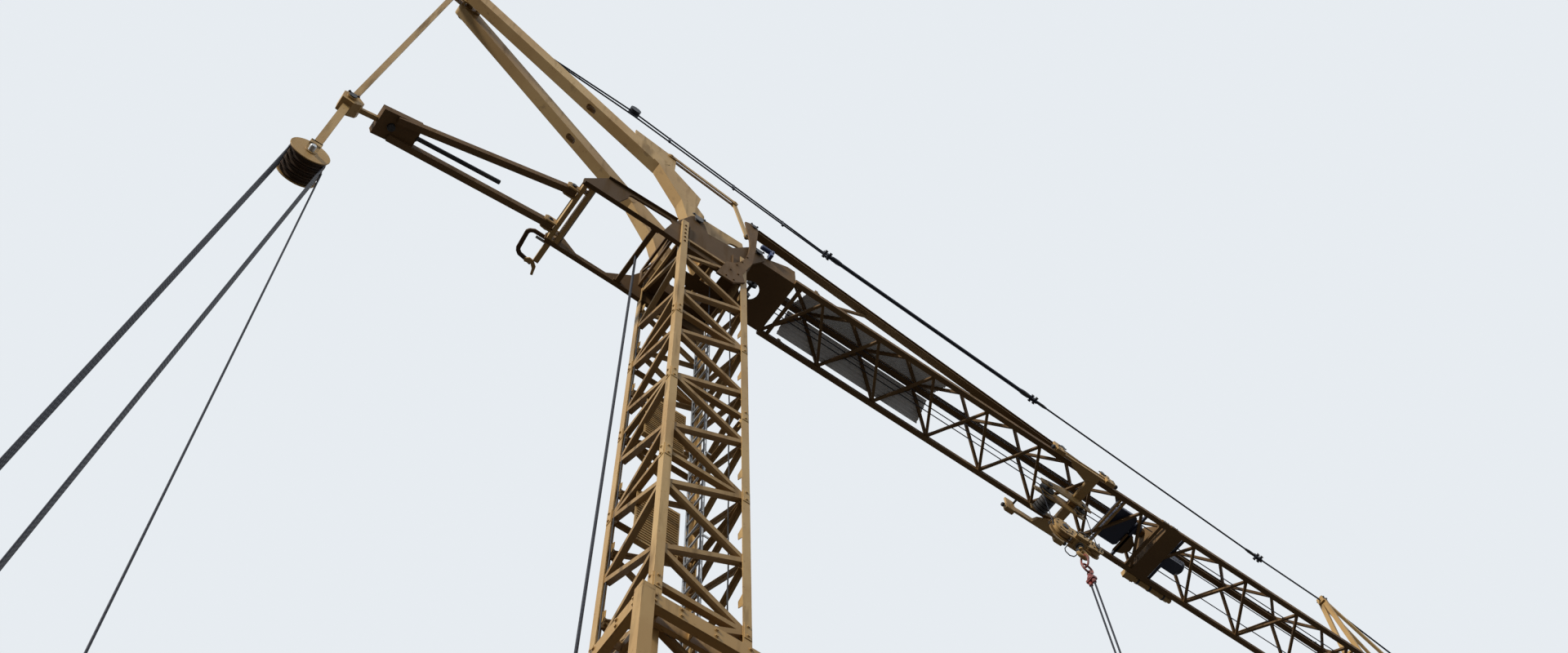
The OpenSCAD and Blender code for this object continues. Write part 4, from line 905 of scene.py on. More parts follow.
def mast_feet():
    """Bolted foot plates and gussets under the lower mast's four posts."""
    top = DECK_TOP + 0.03
    parts = []
    for sx in (-1, 1):
        for sy in (-1, 1):
            parts.append(block((sx * 0.66, sy * 0.66, DECK_TOP), (sx * 0.98, sy * 0.98, top), 0.005))
            parts += bolts(grid((sx * 0.70, sx * 0.94), (sy * 0.70, sy * 0.94), (top,)), UP, 0.02)
            outline = ((0.93, top), (0.93, DECK_TOP + 0.06), (0.868, DECK_TOP + 0.25), (0.868, top))
            outline = [(sx * x, z) for x, z in outline]
            parts.append(cut_plate(outline, "y", sy * 0.80, sy * 0.815, 0.002))
    piece("mast_feet", parts, ochre, UPPERWORKS)


ring_teeth()
jacks()
foot_plates()
arm_collars()
mast_feet()


# The winches: rope windings, gearboxes, finned motors, brakes and cheek ribs
HOIST_Z = 1.90
GUY_WINCH_Z = 1.84


def windings(x, z, half, inner, outer, pitch):
    """The rope's turns side by side on a drum's barrel."""
    profile = [(0.0, 0.0), (inner, 0.0)]
    for i in range(int(2 * half / pitch)):
        low = i * pitch
        profile += [(outer, low + 0.3 * pitch), (outer, low + 0.7 * pitch), (inner, low + pitch)]
    profile.append((0.0, 0.0))
    return lathe(profile, (x, -half, z), LEFTWARDS, 36)


def motor_set(x, z, start, gear_radius, gear_length, radius, length):
    """A gearbox and a finned motor that stand out from a winch's cheek along +Y."""
    flange = start + gear_length * 0.45
    parts = [lathe(disc(gear_radius, gear_length, 0.012), (x, start, z), LEFTWARDS, 36)]
    parts.append(lathe(disc(gear_radius * 1.12, 0.022, 0.004), (x, flange, z), LEFTWARDS, 36))
    parts += bolts(upright(circle((x, z), gear_radius * 1.05, 10), flange + 0.022), LEFTWARDS, 0.010)
    near = start + gear_length
    far = near + length
    parts.append(lathe(disc(radius, length, 0.008), (x, near, z), LEFTWARDS, 32))
    parts.append(lathe(disc(radius * 1.14, 0.07, 0.02), (x, far - 0.01, z), LEFTWARDS, 32))
    fin = block((radius * 0.9, near + 0.03, -0.003), (radius * 1.12, far - 0.02, 0.003), 0.0)
    middle = Matrix.Translation(Vector((x, 0, z)))
    parts += copies(fin, [middle @ Matrix.Rotation(math.radians(15 * i), 4, "Y") for i in range(24)])
    box_low = (x - radius * 0.5, near + 0.06, z + radius * 0.95)
    parts.append(block(box_low, (x + radius * 0.5, near + 0.2, box_low[2] + 0.09), 0.008))
    return parts


def winches():
    """Both winches' windings, motors and the fittings of their cheeks."""
    turns = [
        windings(HOIST_X, HOIST_Z, half=0.46, inner=0.238, outer=0.258, pitch=0.024),
        windings(GUY_WINCH_X, GUY_WINCH_Z, half=0.36, inner=0.178, outer=0.196, pitch=0.022),
    ]
    piece("drum_windings", turns, rope, UPPERWORKS)
    motors = motor_set(HOIST_X, HOIST_Z, 0.558, 0.215, 0.15, 0.135, 0.30)
    motors += motor_set(GUY_WINCH_X, GUY_WINCH_Z, 0.458, 0.165, 0.12, 0.110, 0.26)
    piece("winch_motors", motors, motor_blue, UPPERWORKS)
    parts = []
    for x, z, cheek, reach in ((HOIST_X, HOIST_Z, 0.56, 0.30), (GUY_WINCH_X, GUY_WINCH_Z, 0.46, 0.24)):
        parts.append(lathe(disc(reach * 0.75, 0.07, 0.01), (x, -cheek + 0.002, z), RIGHTWARDS, 36))
        parts.append(lathe(disc(reach * 0.35, 0.11, 0.01), (x, -cheek + 0.002, z), RIGHTWARDS, 28))
        parts += bolts([(x, -cheek - 0.108, z)], RIGHTWARDS, 0.024)
        for side in (-1, 1):
            near, far = side * (cheek - 0.001), side * (cheek + 0.11)
            rib = ((near, DECK_TOP), (far, DECK_TOP), (far, DECK_TOP + 0.03), (near, DECK_TOP + 0.24))
            for end in (-1, 1):
                start = x + end * (reach + 0.04)
                parts.append(cut_plate(rib, "x", start - 0.008, start + 0.008, 0.002))
            rail_far = (x + reach + 0.10, side * (cheek + 0.13), DECK_TOP + 0.018)
            parts.append(block((x - reach - 0.10, near, DECK_TOP), rail_far, 0.004))
    piece("winch_fittings", parts, dark_steel, UPPERWORKS)


# The control cabinet and the ballast
CABINET_Y = 1.57
BALLAST_X = -5.80
BALLAST_STEP = 0.312
BALLAST_WIDTH = 0.30
BALLAST_COUNT = 6
BALLAST_TOP = 2.94


def cabinet():
    """The control cabinet's roof, doors, louvres, hinges and handles."""
    face = CABINET_Y + 0.016
    out = CABINET_Y + 0.034
    doors = [block((-1.54, 1.12, 2.62), (0.04, CABINET_Y + 0.04, 2.655), 0.008)]
    for low_x, hinge_x in ((-1.47, -1.47), (-0.735, -0.03)):
        doors.append(block((low_x, CABINET_Y, 1.20), (low_x + 0.705, CABINET_Y + 0.018, 2.56), 0.006))
        outline = ((face, 0.0), (out, -0.02), (out, -0.026), (face, -0.014))
        slat = cut_plate(outline, "x", low_x + 0.12, low_x + 0.585, 0.0)
        doors += copies(slat, [(0, 0, 2.42 - 0.035 * i) for i in range(8)])
        for z in (1.40, 1.88, 2.36):
            doors.append(lathe(disc(0.014, 0.11), (hinge_x, CABINET_Y + 0.018, z - 0.055), UP, 14))
    piece("cabinet_doors", doors, ochre, UPPERWORKS)
    handles = []
    base = CABINET_Y + 0.024
    grip = CABINET_Y + 0.05
    for x in (-0.84, -0.66):
        low, high = (x - 0.02, CABINET_Y + 0.017, 1.78), (x + 0.02, CABINET_Y + 0.026, 1.96)
        handles.append(block(low, high, 0.003))
        handles.append(wire([(x, base, 1.82), (x, grip, 1.83), (x, grip, 1.91), (x, base, 1.92)], 0.006, 8))
    piece("cabinet_handles", handles, dark_steel, UPPERWORKS)


def ballast():
    """The ballast blocks with their lifting eyes, tie plates and bolts."""
    slabs = []
    fittings = []
    for i in range(BALLAST_COUNT):
        start = BALLAST_X + i * BALLAST_STEP
        slabs.append(block((start, -1.23, DECK_TOP), (start + BALLAST_WIDTH, 1.23, BALLAST_TOP), 0.022))
        for y in (-0.70, 0.70):
            angles = [math.radians(a) for a in range(0, 181, 20)]
            eye = [(y + 0.07 * math.cos(a), BALLAST_TOP - 0.01 + 0.10 * math.sin(a)) for a in angles]
            fittings.append(wire([(start + BALLAST_WIDTH / 2, v, w) for v, w in eye], 0.012, 8))
    piece("ballast_slabs", slabs, concrete, UPPERWORKS, ("ballast_blocks",))
    last = BALLAST_X + (BALLAST_COUNT - 1) * BALLAST_STEP + BALLAST_WIDTH
    for y in (-1.0, 1.0):
        for z in (1.75, 2.60):
            for x, towards in ((BALLAST_X, -1), (last, 1)):
                face = x + towards * 0.014
                plate_low = (x - towards * 0.001, y - 0.08, z - 0.08)
                fittings.append(block(plate_low, (face, y + 0.08, z + 0.08), 0.003))
                fittings += bolts([(face, y, z)], (towards, 0, 0), 0.026)
    piece("ballast_eyes", fittings, dark_steel, UPPERWORKS)


winches()
cabinet()
ballast()


# Head: pins, bolts and edge strips
PLATE_IN = 0.518
STRIP_IN = 0.546
STRIP_REACH = 0.044
STRIP_THICK = 0.010


def head_pins():
    """Caps and keepers on the pins of the A-frame's feet, the jib's root, the horns and the apex."""
    parts = pin_caps(*FOOT_PIN, 0.578, 0.085)
    parts += pin_caps(*ROOT_PIN, 0.578, 0.068)
    parts += pin_cap(*HORN_PIN, -0.640, -1, 0.050)
    parts += pin_caps(*APEX, 0.290, 0.085)
    piece("head_pin_caps", parts, dark_steel, UPPERWORKS)


def head_bolts():
    """Bolts through the horns and posts into the head's side plates."""
    spots = ((0.20, 24.42), (0.34, 24.42), (0.28, 24.75), (0.42, 24.75))
    spots += ((0.40, 25.10), (0.50, 25.36), (0.60, 25.70))
    places = upright(spots, 0.630)
    places += [(-0.545, 0.600, 24.80 + 0.16 * i) for i in range(5)]
    piece("head_bolts", mirrored(bolts(places, LEFTWARDS, 0.016)), brown, UPPERWORKS)


def head_edges():
    """Welded edge strips along the head's lower rails, on the right plate's slope and as stiffeners."""
    out = STRIP_IN + STRIP_REACH
    run = ((-2.30, 24.676), (-0.98, 24.676), (-0.64, 24.646), (0.50, 24.646))
    parts = []
    for (x0, z0), (x1, z1) in zip(run, run[1:]):
        outline = ((x0, z0), (x1, z1), (x1, z1 + STRIP_THICK), (x0, z0 + STRIP_THICK))
        parts.append(cut_plate(outline, "y", STRIP_IN, out, 0.0))
    slope = ((-1.94, 25.493), (-0.68, 25.583), (-0.68, 25.573), (-1.94, 25.483))
    right_strip = cut_plate(slope, "y", -out, -STRIP_IN, 0.0)
    for x in (-0.46, 0.36):
        outline = ((x, 24.66), (x + 0.014, 24.66), (x + 0.014, 25.60), (x, 25.60))
        parts.append(cut_plate(outline, "y", STRIP_IN, out - 0.006, 0.0))
    # The strips take the darkened head ochre, as painted shade.
    piece("head_edge_strips", mirrored(parts) + [right_strip], head_shaded_ochre, UPPERWORKS)


def root_sheave():
    """The rope sheaves between the head's plates, on one shaft."""
    x, z = 1.080, 26.335
    groove = sheave_profile(rim=0.095, root=0.075, width=0.040, lip=0.006, slope=0.010)
    parts = [lathe(groove, (x, y, z), RIGHTWARDS, 28) for y in (-0.070, 0.130)]
    parts.append(lathe(disc(0.028, 0.36), (x, 0.18, z), RIGHTWARDS, 16))
    for y in (-0.150, 0.150):
        parts.append(block((0.99, y - 0.006, 26.27), (1.17, y + 0.006, 26.40)))
    piece("root_sheaves", parts, dark_steel, UPPERWORKS)


head_pins()
head_bolts()
head_edges()
root_sheave()


# Fork and guy tackle
FALLS_Y = [0.084 * step for step in (-1.5, -0.5, 0.5, 1.5)]
GUIDE_X = -4.233
GUIDE_Z = 3.410
GUIDE_ROPE = 0.122


def tackle_ropes():
    """Rope over the upper sheaves and under the tail sheaves, and the fall that leads to the winch."""
    parts = []
    for y in FALLS_Y:
        parts.append(wire(upright(arc((GUY_X, GUY_Z), 0.2323, 0, 180, 20), y), 0.012, 8))
        parts.append(wire(upright(arc((TAIL_X, TAIL_Z), 0.2523, 180, 360, 20), y), 0.012, 8))
    lead = [(-5.456, GUY_Z), (GUIDE_X - GUIDE_ROPE, GUIDE_Z + 0.02)]
    lead += arc((GUIDE_X, GUIDE_Z), GUIDE_ROPE, 190, 227, 6) + [(-3.04, 2.13)]
    parts.append(wire(upright(lead, 0.0), 0.012, 8))
    piece("tackle_rope", parts, rope, UPPERWORKS)


def rope_guide():
    """The small sheave over the ballast that guides the lead rope, and its bracket."""
    wheel = sheave_profile(rim=0.14, root=0.11, width=0.052, lip=0.008, slope=0.014)
    parts = [lathe(wheel, (GUIDE_X, 0.026, GUIDE_Z), RIGHTWARDS, 32)]
    parts.append(lathe(disc(0.024, 0.20), (GUIDE_X, 0.10, GUIDE_Z), RIGHTWARDS, 16))
    piece("rope_guide_sheave", parts, dark_steel, UPPERWORKS)
    parts = [block((-4.42, -0.13, 2.94), (-4.01, 0.13, 2.955))]
    outline = ((-4.40, 2.95), (-4.30, 3.48), (-4.17, 3.48), (-4.03, 2.95))
    parts += mirrored([cut_plate(outline, "y", 0.060, 0.074)])
    parts += bolts(grid((-4.39, -4.04), (-0.10, 0.10), (2.955,)), UP, 0.016)
    piece("rope_guide_bracket", parts, ochre, UPPERWORKS)


def guy_block():
    """The tackle's upper block: ochre cheeks, four brown rope sheaves and the long pin."""
    width = 0.072
    wheel = lathe(sheave_profile(0.254, 0.222, width, 0.010, 0.014), (0, -width / 2, 0), LEFTWARDS, 40)
    parts = copies(wheel, [(GUY_X, y, GUY_Z) for y in FALLS_Y])
    parts.append(lathe(disc(0.120, 0.36, 0.004), (GUY_X, -0.18, GUY_Z), LEFTWARDS, 28))
    piece("guy_sheaves", parts, sheave_brown, UPPERWORKS)
    low_x, high_x, top = GUY_X - 0.08, GUY_X + 0.08, GUY_Z + 0.37
    ear = ((low_x, GUY_Z), (high_x, GUY_Z), (high_x, top), (low_x, top))
    parts = []
    for side in (-1, 1):
        face = side * 0.176
        parts.append(lathe(disc(0.268, 0.016, 0.004), (GUY_X, face, GUY_Z), (0, side, 0), 44))
        parts.append(cut_plate(ear, "y", face, side * 0.192))
        parts.append(lathe(disc(0.075, 0.012), (GUY_X, side * 0.190, GUY_Z), (0, side, 0), 28))
    parts.append(block((low_x, -0.192, top - 0.04), (high_x, 0.192, top)))
    piece("guy_block_cheeks", parts, ochre, UPPERWORKS, ("guy_sheave_block",))
    pin = ((0.0, 0.0), (0.034, 0.0), (0.042, 0.012), (0.042, 0.548), (0.034, 0.560), (0.0, 0.560))
    parts = [lathe(pin, (GUY_X, -0.280, GUY_Z), LEFTWARDS, 24)]
    piece("guy_block_pin", parts, zinc, UPPERWORKS)
    piece("guy_joint_pin", pin_caps(GUY_X, 23.610, 0.140, 0.060), dark_steel, UPPERWORKS)


def fork_fittings():
    """The pin in the fork's end plate, the dark push rod between its arms and the arms' pins."""
    lean = math.radians(20)
    across_plate = Vector((-math.sin(lean), 0.0, math.cos(lean)))
    pin = ((0.0, 0.0), (0.050, 0.0), (0.058, 0.010), (0.058, 0.090), (0.030, 0.10), (0.0, 0.10))
    rod_end = (-4.70, 0.0, 23.915)
    parts = [lathe(pin, Vector((-5.062, 0, 23.754)) - across_plate * 0.05, across_plate, 28)]
    parts.append(wire([rod_end, (-3.352, 0.060, 24.379)], 0.037, 8))
    parts.append(lathe(disc(0.052, 0.03, 0.006), rod_end, (0.94, 0.04, 0.34), 20))
    for side in (-1, 1):
        for y in (0.230, 0.410):
            parts.append(lathe(disc(0.044, 0.014, 0.004), (-2.390, side * y, 24.725), (0, side, 0), 20))
    piece("fork_fittings", parts, dark_steel, UPPERWORKS)


def hinge_beam():
    """The rear beam with its ribs, lugs and catch."""
    low, half = HEAD_LOW + 0.04, PLATE_IN
    parts = []
    for x in (-2.29, -2.17):
        parts.append(block((x, -half, low), (x + 0.07, half, low + 0.19), 0.006))
    for y in (-half, -0.41, 0.39, half - 0.02):
        parts.append(block((-2.23, y, low), (-2.16, y + 0.02, low + 0.19), 0.0))
    lug = ((-2.49, low - 0.02), (-2.46, low - 0.05), (-2.28, low - 0.05))
    lug += ((-2.28, low + 0.14), (-2.45, low + 0.14), (-2.49, low + 0.10))
    for y in (0.236, 0.374, -0.260, -0.398):
        parts.append(cut_plate(lug, "y", y, y + 0.024))
    catch = ((-2.38, 1.018), (-2.32, 0.968), (-2.24, 0.978), (-2.16, 1.048), (-2.13, 1.188))
    catch += ((-2.17, 1.198), (-2.20, 1.098), (-2.26, 1.038), (-2.36, 1.068))
    parts.append(cut_plate(catch, "z", HEAD_LOW + 0.115, HEAD_LOW + 0.158, 0.006))
    parts.append(block((-2.26, STRIP_IN, low + 0.05), (-2.17, 0.968, low + 0.12), 0.006))
    piece("hinge_beam", parts, ochre, UPPERWORKS, ("rear_hinge_beam",))


def hinge_fittings():
    """The dark loop guard beside the rear beam and the zinc strips on it."""
    loop = ((-2.17, 0.548), (-2.49, 0.548), (-2.57, 0.590), (-2.60, 0.640), (-2.575, 0.950), (-2.545, 1.005))
    loop += ((-2.49, 1.048), (-2.25, 1.088), (-2.25, 1.028))
    loop += ((-2.46, 0.988), (-2.495, 0.960), (-2.505, 0.938))
    loop += ((-2.53, 0.650), (-2.515, 0.625), (-2.48, 0.608), (-2.17, 0.608))
    parts = [cut_plate(loop, "z", HEAD_LOW + 0.160, HEAD_LOW + 0.210, 0.010)]
    piece("loop_guard", parts, brown_dark, UPPERWORKS)
    low = HEAD_LOW + 0.04
    top = low + 0.199
    parts = [block((x, -0.545, low + 0.187), (x + 0.05, 0.60, top), 0.003) for x in (-2.305, -2.105)]
    parts.append(block((-2.42, 0.62, low + 0.125), (-2.20, 0.66, low + 0.150), 0.004))
    parts += bolts(grid((-2.28, -2.08), (-0.48, -0.16, 0.16, 0.48), (top,)), UP, 0.016)
    piece("hinge_strips", parts, zinc, UPPERWORKS)


tackle_ropes()
rope_guide()
guy_block()
fork_fittings()
hinge_beam()
hinge_fittings()


# Jib: splices, cables, rope clips and the drive's small parts
PAD_LOW = 26.258
PAD_TOP = 26.332
TIE_JOINTS = ((2.94, 30.50), (7.92, 30.08), (13.68, 29.53))
KINGPOST_TOP = (15.455, 29.48)
TIP_ROPE_Z = 26.425


def fold_fittings():
    """Bolted pads on the chords either side of each fold, and lugs with pins on the top chord."""
    pads = []
    heads = []
    middle = (PAD_LOW + PAD_TOP) / 2
    for x in FOLDS:
        for side in (1, -1):
            if x == FOLDS[0] and side > 0:
                continue
            face = side * (JIB_HALF + 0.012)
            for low, high in ((x - 0.17, x - 0.004), (x + 0.034, x + 0.20)):
                pads.append(block((low, side * JIB_HALF, PAD_LOW), (high, face, PAD_TOP), 0.003))
                heads += bolts(grid((low + 0.045, high - 0.045), (face,), (middle,)), (0, side, 0), 0.014)
        lug = ((x - 0.16, 26.74), (x + 0.19, 26.74), (x + 0.19, 26.80))
        lug += ((x + 0.12, 26.87), (x - 0.09, 26.87), (x - 0.16, 26.80))
        for y in (-0.062, 0.050):
            pads.append(cut_plate(lug, "y", y, y + 0.012))
        for shift in (-0.06, 0.09):
            heads.append(lathe(disc(0.026, 0.16, 0.004), (x + shift, 0.08, 26.83), RIGHTWARDS, 18))
    piece("fold_pads", pads, brown, UPPERWORKS)
    piece("fold_bolts", heads, zinc, UPPERWORKS)


def jib_cables():
    """The power cable on the ridge with its clips, and the trolley's thin ropes out to the tip."""
    y, z = -0.062, 26.790
    cable = [(1.70, y, z + 0.025)] + [(2.2 + 0.6 * i, y, z) for i in range(45)]
    clip = block((-0.012, -0.016, -0.020), (0.012, 0.012, 0.020), 0.002)
    parts = [wire(cable, 0.011, 6)] + copies(clip, [(2.0 + 1.2 * i, y - 0.002, z) for i in range(23)])
    piece("ridge_cable", parts, rubber, UPPERWORKS)
    ropes = []
    for y in (-0.150, -0.050, 0.050, 0.150):
        z = 26.402 + abs(y) / 5
        ropes.append(wire([(1.64, y, z), (5.2, y, z - 0.006), (8.81, y, z)], 0.010, 6))
    for y, start in ((-0.25, 9.36), (0.30, 9.36), (-0.03, 10.60)):
        line = [(start, y, TIP_ROPE_Z), (19.0, y, TIP_ROPE_Z - 0.006), (29.38, y, TIP_ROPE_Z)]
        ropes.append(wire(line, 0.010, 6))
    piece("trolley_ropes", ropes, rope, UPPERWORKS, ("jib_ropes",))


def strut_flanges():
    """Flange plates over and under the folding strut."""
    start = Vector((*HORN_PIN, 0.0)).xzy + Vector((0, -0.560, 0))
    end = Vector((8.085, -0.483, 26.530))
    run = (end - start).normalized()
    rise = Vector((0, -1, 0)).cross(run).normalized()
    half = Vector((0, 0.062, 0))
    parts = []
    for shift in (-0.068, 0.068):
        near = start + run * 0.10 + rise * shift
        far = end - run * 0.05 + rise * shift
        corners = [near - half, far - half, far + half, near + half]
        plate = cut_plate([(0.0, 0.0), (1.0, 0.0), (1.0, 1.0), (0.0, 1.0)], "z", 0.0, 0.006, 0.0)
        for vertex, corner in zip(plate.data.vertices, corners + corners):
            thick = 0.006 if vertex.co.z > 0.003 else -0.006
            vertex.co = corner + rise * thick
        clean_normals(plate)
        parts.append(plate)
    piece("strut_flanges", parts, brown, UPPERWORKS)


def root_motor():
    """The small blue motor at the jib's root."""
    body = ((0.0, 0.0), (0.030, 0.0), (0.042, 0.014), (0.042, 0.20))
    body += ((0.050, 0.205), (0.050, 0.245), (0.0, 0.25))
    parts = [lathe(body, (0.92, -0.585, 26.745), ALONG, 24)]
    parts.append(block((1.09, -0.615, 26.58), (1.15, -0.510, 26.715), 0.006))
    piece("root_motor", parts, motor_bright, UPPERWORKS)


def drive_fittings():
    """The drives' covers: a wide housing between the chords, end bells, fins and a terminal box."""
    outline = ((8.86, -0.34), (9.22, -0.34), (9.27, -0.28), (9.27, 0.28), (9.22, 0.33), (8.86, 0.33))
    parts = [cut_plate(outline, "z", 26.345, 26.440, 0.012)]
    parts.append(block((8.87, -0.235, 26.430), (9.30, 0.235, 26.545), 0.020))
    bell = ((0.0, 0.0), (0.105, 0.0), (0.112, 0.012), (0.112, 0.05))
    bell += ((0.095, 0.085), (0.05, 0.10), (0.0, 0.10))
    for y in (-0.125, 0.125):
        parts.append(lathe(bell, (9.388, y, 26.461), ALONG, 28))
    y, z = 0.06, 26.466
    bell = ((0.0, 0.0), (0.130, 0.0), (0.136, 0.012), (0.134, 0.04), (0.10, 0.07), (0.04, 0.08), (0.0, 0.08))
    parts.append(lathe(bell, (10.558, y, z), ALONG, 32))
    fin = lathe(tube_profile(0.128, 0.140, 0.014), (0, 0, 0), ALONG, 32)
    parts += copies(fin, [(10.20 + 0.05 * i, y, z) for i in range(7)])
    parts.append(block((10.28, 0.02, 26.585), (10.44, 0.12, 26.66), 0.010))
    piece("drive_covers", parts, motor_blue, UPPERWORKS)


def drive_mounts():
    """The drives' hanger plate, bolts and cross struts."""
    hanger = ((9.26, 0.00), (9.40, 0.00), (9.52, 0.10), (9.54, 0.24))
    hanger += ((9.46, 0.36), (9.34, 0.40), (9.26, 0.40))
    parts = [cut_plate(hanger, "z", 26.316, 26.334)]
    for x in (8.73, 8.82, 9.33):
        parts += bolts(grid((x,), (-0.44, -0.38, 0.38, 0.44), (26.396,)), UP, 0.014)
    parts.append(block((10.02, -0.46, 26.262), (10.07, 0.46, 26.30)))
    piece("drive_mounts", parts, brown, UPPERWORKS)
    parts = [block((x, -0.478, 26.296), (x + 0.044, 0.478, 26.320)) for x in (8.70, 8.79)]
    piece("drive_cross_struts", parts, ochre, UPPERWORKS)


def cylinder_fittings():
    """Glands, clamps, a fitting and its bolts on the cylinder beside the far chord."""
    y = 0.633
    gland = tube_profile(0.056, 0.066, 0.035)
    parts = [lathe(gland, (x, y, 26.30), ALONG, 28) for x in (10.02, 10.30, 10.62)]
    parts += bolts(grid((9.755, 9.915), (0.694,), (26.265, 26.335)), LEFTWARDS, 0.014)
    parts.append(lathe(disc(0.016, 0.045, 0.004), (10.14, y, 26.356), UP, 14))
    piece("cylinder_fittings", parts, dark_steel, UPPERWORKS)


def kingpost_fittings():
    """The kingpost's head pin and feet bolts."""
    parts = pin_caps(*KINGPOST_TOP, 0.075, 0.038)
    for x in (15.41, 15.50, 18.18, 18.27):
        parts += bolts(grid((x,), (-0.195, -0.10, 0.10, 0.195), (26.856,)), UP, 0.015)
    piece("kingpost_bolts", parts, dark_steel, UPPERWORKS)


def tie_fittings():
    """Sockets, clamp plates and bolts along the tie line, and its anchor on the top chord."""
    parts = []
    for x, z in TIE_JOINTS:
        for side in (-1, 1):
            for shift in (-0.05, 0.05):
                boss = (x + shift, side * 0.058, z)
                parts.append(lathe(disc(0.034, 0.016, 0.004), boss, (0, side, 0), 20))
    first, second, third = (Vector((x, 0, z)) for x, z in TIE_JOINTS)
    sleeve = ((0.0, 0.0), (0.030, 0.0), (0.046, 0.03), (0.050, 0.16), (0.040, 0.24), (0.0, 0.24))
    thick = (second - first).normalized()
    parts.append(lathe(sleeve, (3.03, 0, 30.4924), thick, 20))
    parts.append(lathe(sleeve, (7.83, 0, 30.0876), -thick, 20))
    small = ((0.0, 0.0), (0.020, 0.0), (0.030, 0.02), (0.032, 0.16), (0.022, 0.24), (0.0, 0.24))
    thin = (third - second).normalized()
    parts.append(lathe(small, second + thin * 0.09, thin, 18))
    parts.append(lathe(small, third - thin * 0.09, -thin, 18))
    last = (Vector((26.0, 0, 26.89)) - Vector((15.534, 0, 29.48))).normalized()
    parts.append(lathe(small, Vector((25.98, 0, 26.895)) - last * 0.30, last, 18))
    parts += bolts([(25.93, y, 26.88) for y in (-0.021, 0.021)], LEFTWARDS, 0.014)
    piece("tie_line_fittings", parts, dark_steel, UPPERWORKS)


def tip_fittings():
    """End stops with rubber buffers on the bottom chords, and the tip's rope sheaves."""
    stops = []
    pads = []
    buffer = ((0.0, 0.0), (0.022, 0.0), (0.026, 0.015), (0.022, 0.035), (0.0, 0.04))
    for x, turn in ((2.060, 1), (29.060, -1)):
        for side in (-1, 1):
            stops.append(block((x - 0.03, side * 0.500, 26.335), (x + 0.03, side * 0.560, 26.47), 0.005))
            pads.append(lathe(buffer, (x + turn * 0.029, side * 0.53, TIP_ROPE_Z), (turn, 0, 0), 16))
    wheel = sheave_profile(rim=0.12, root=0.095, width=0.048, lip=0.008, slope=0.012)
    for y in (-0.226, 0.324):
        pads.append(lathe(wheel, (29.28, y, TIP_ROPE_Z), RIGHTWARDS, 28))
    cheek = ((29.20, 26.31), (29.40, 26.31), (29.40, 26.54), (29.22, 26.50))
    for y in (-0.262, -0.198, 0.288, 0.352):
        stops.append(cut_plate(cheek, "y", y, y + 0.006))
    piece("end_stops", stops, brown, UPPERWORKS)
    piece("end_buffers", pads, rubber, UPPERWORKS)


fold_fittings()
jib_cables()
strut_flanges()
root_motor()
drive_fittings()
drive_mounts()
cylinder_fittings()
kingpost_fittings()
tie_fittings()
tip_fittings()


# Trolley: hubs, buffers, bolts and guards
WHEEL_Z = 26.395
SHEAVE_Z = 25.995
END_BLOCKS_X = (7.05, 8.16)
SLING_LEGS_Y = (-0.04, 0.04)


def trolley_fittings():
    """Hub caps on the wheels, bolts on the end blocks and caps on the sheaves' pins."""
    parts = []
    for x in (7.25, 8.15):
        for y, side in ((-0.655, -1), (0.740, 1)):
            parts.append(lathe(disc(0.048, 0.018, 0.006), (x, y, WHEEL_Z), (0, side, 0), 24))
            parts += bolts([(x - 0.066, y, WHEEL_Z), (x + 0.066, y, WHEEL_Z)], (0, side, 0), 0.014)
    for x in END_BLOCKS_X:
        for y, side in ((-0.690, -1), (0.775, 1)):
            parts += bolts(grid((x + 0.04, x + 0.15), (y,), (26.135, 26.215)), (0, side, 0), 0.017)
    for x in (7.35, 8.09):
        for side in (-1, 1):
            parts.append(lathe(disc(0.042, 0.016, 0.004), (x, side * 0.102, SHEAVE_Z), (0, side, 0), 20))
    piece("trolley_fittings", parts, dark_steel, TROLLEY)
    buffer = ((0.0, 0.0), (0.036, 0.0), (0.040, 0.02), (0.034, 0.045), (0.020, 0.055), (0.0, 0.055))
    parts = []
    for x, turn in ((7.025, -1), (8.375, 1)):
        for y in (-0.652, 0.735):
            parts.append(lathe(buffer, (x, y, 26.175), (turn, 0, 0), 20))
    piece("trolley_buffers", parts, rubber, TROLLEY)


def trolley_plates():
    """Rounded cover plates on the end blocks, lips, the sheaves' guard straps and two round plates."""
    parts = []
    for x in END_BLOCKS_X:
        cover = ((x + 0.02, 26.09), (x + 0.17, 26.09), (x + 0.19, 26.12), (x + 0.19, 26.215))
        cover += ((x + 0.16, 26.245), (x + 0.03, 26.245), (x, 26.215), (x, 26.12))
        for low in (-0.700, 0.773):
            parts.append(cut_plate(cover, "y", low, low + 0.012))
    for low in (-0.668, 0.738):
        parts.append(block((7.30, low, 26.225), (8.16, low + 0.018, 26.245)))
    for x, radius in ((7.35, 0.158), (8.09, 0.118)):
        parts.append(wire(upright(arc((x, SHEAVE_Z), radius, 200, 340, 12), 0.0), 0.008, 6))
    for y in (0.112, 0.420):
        parts.append(cut_plate(circle((7.54, 26.08), 0.105, 20), "y", y - 0.012, y + 0.012))
    piece("trolley_plates", parts, ochre, TROLLEY)


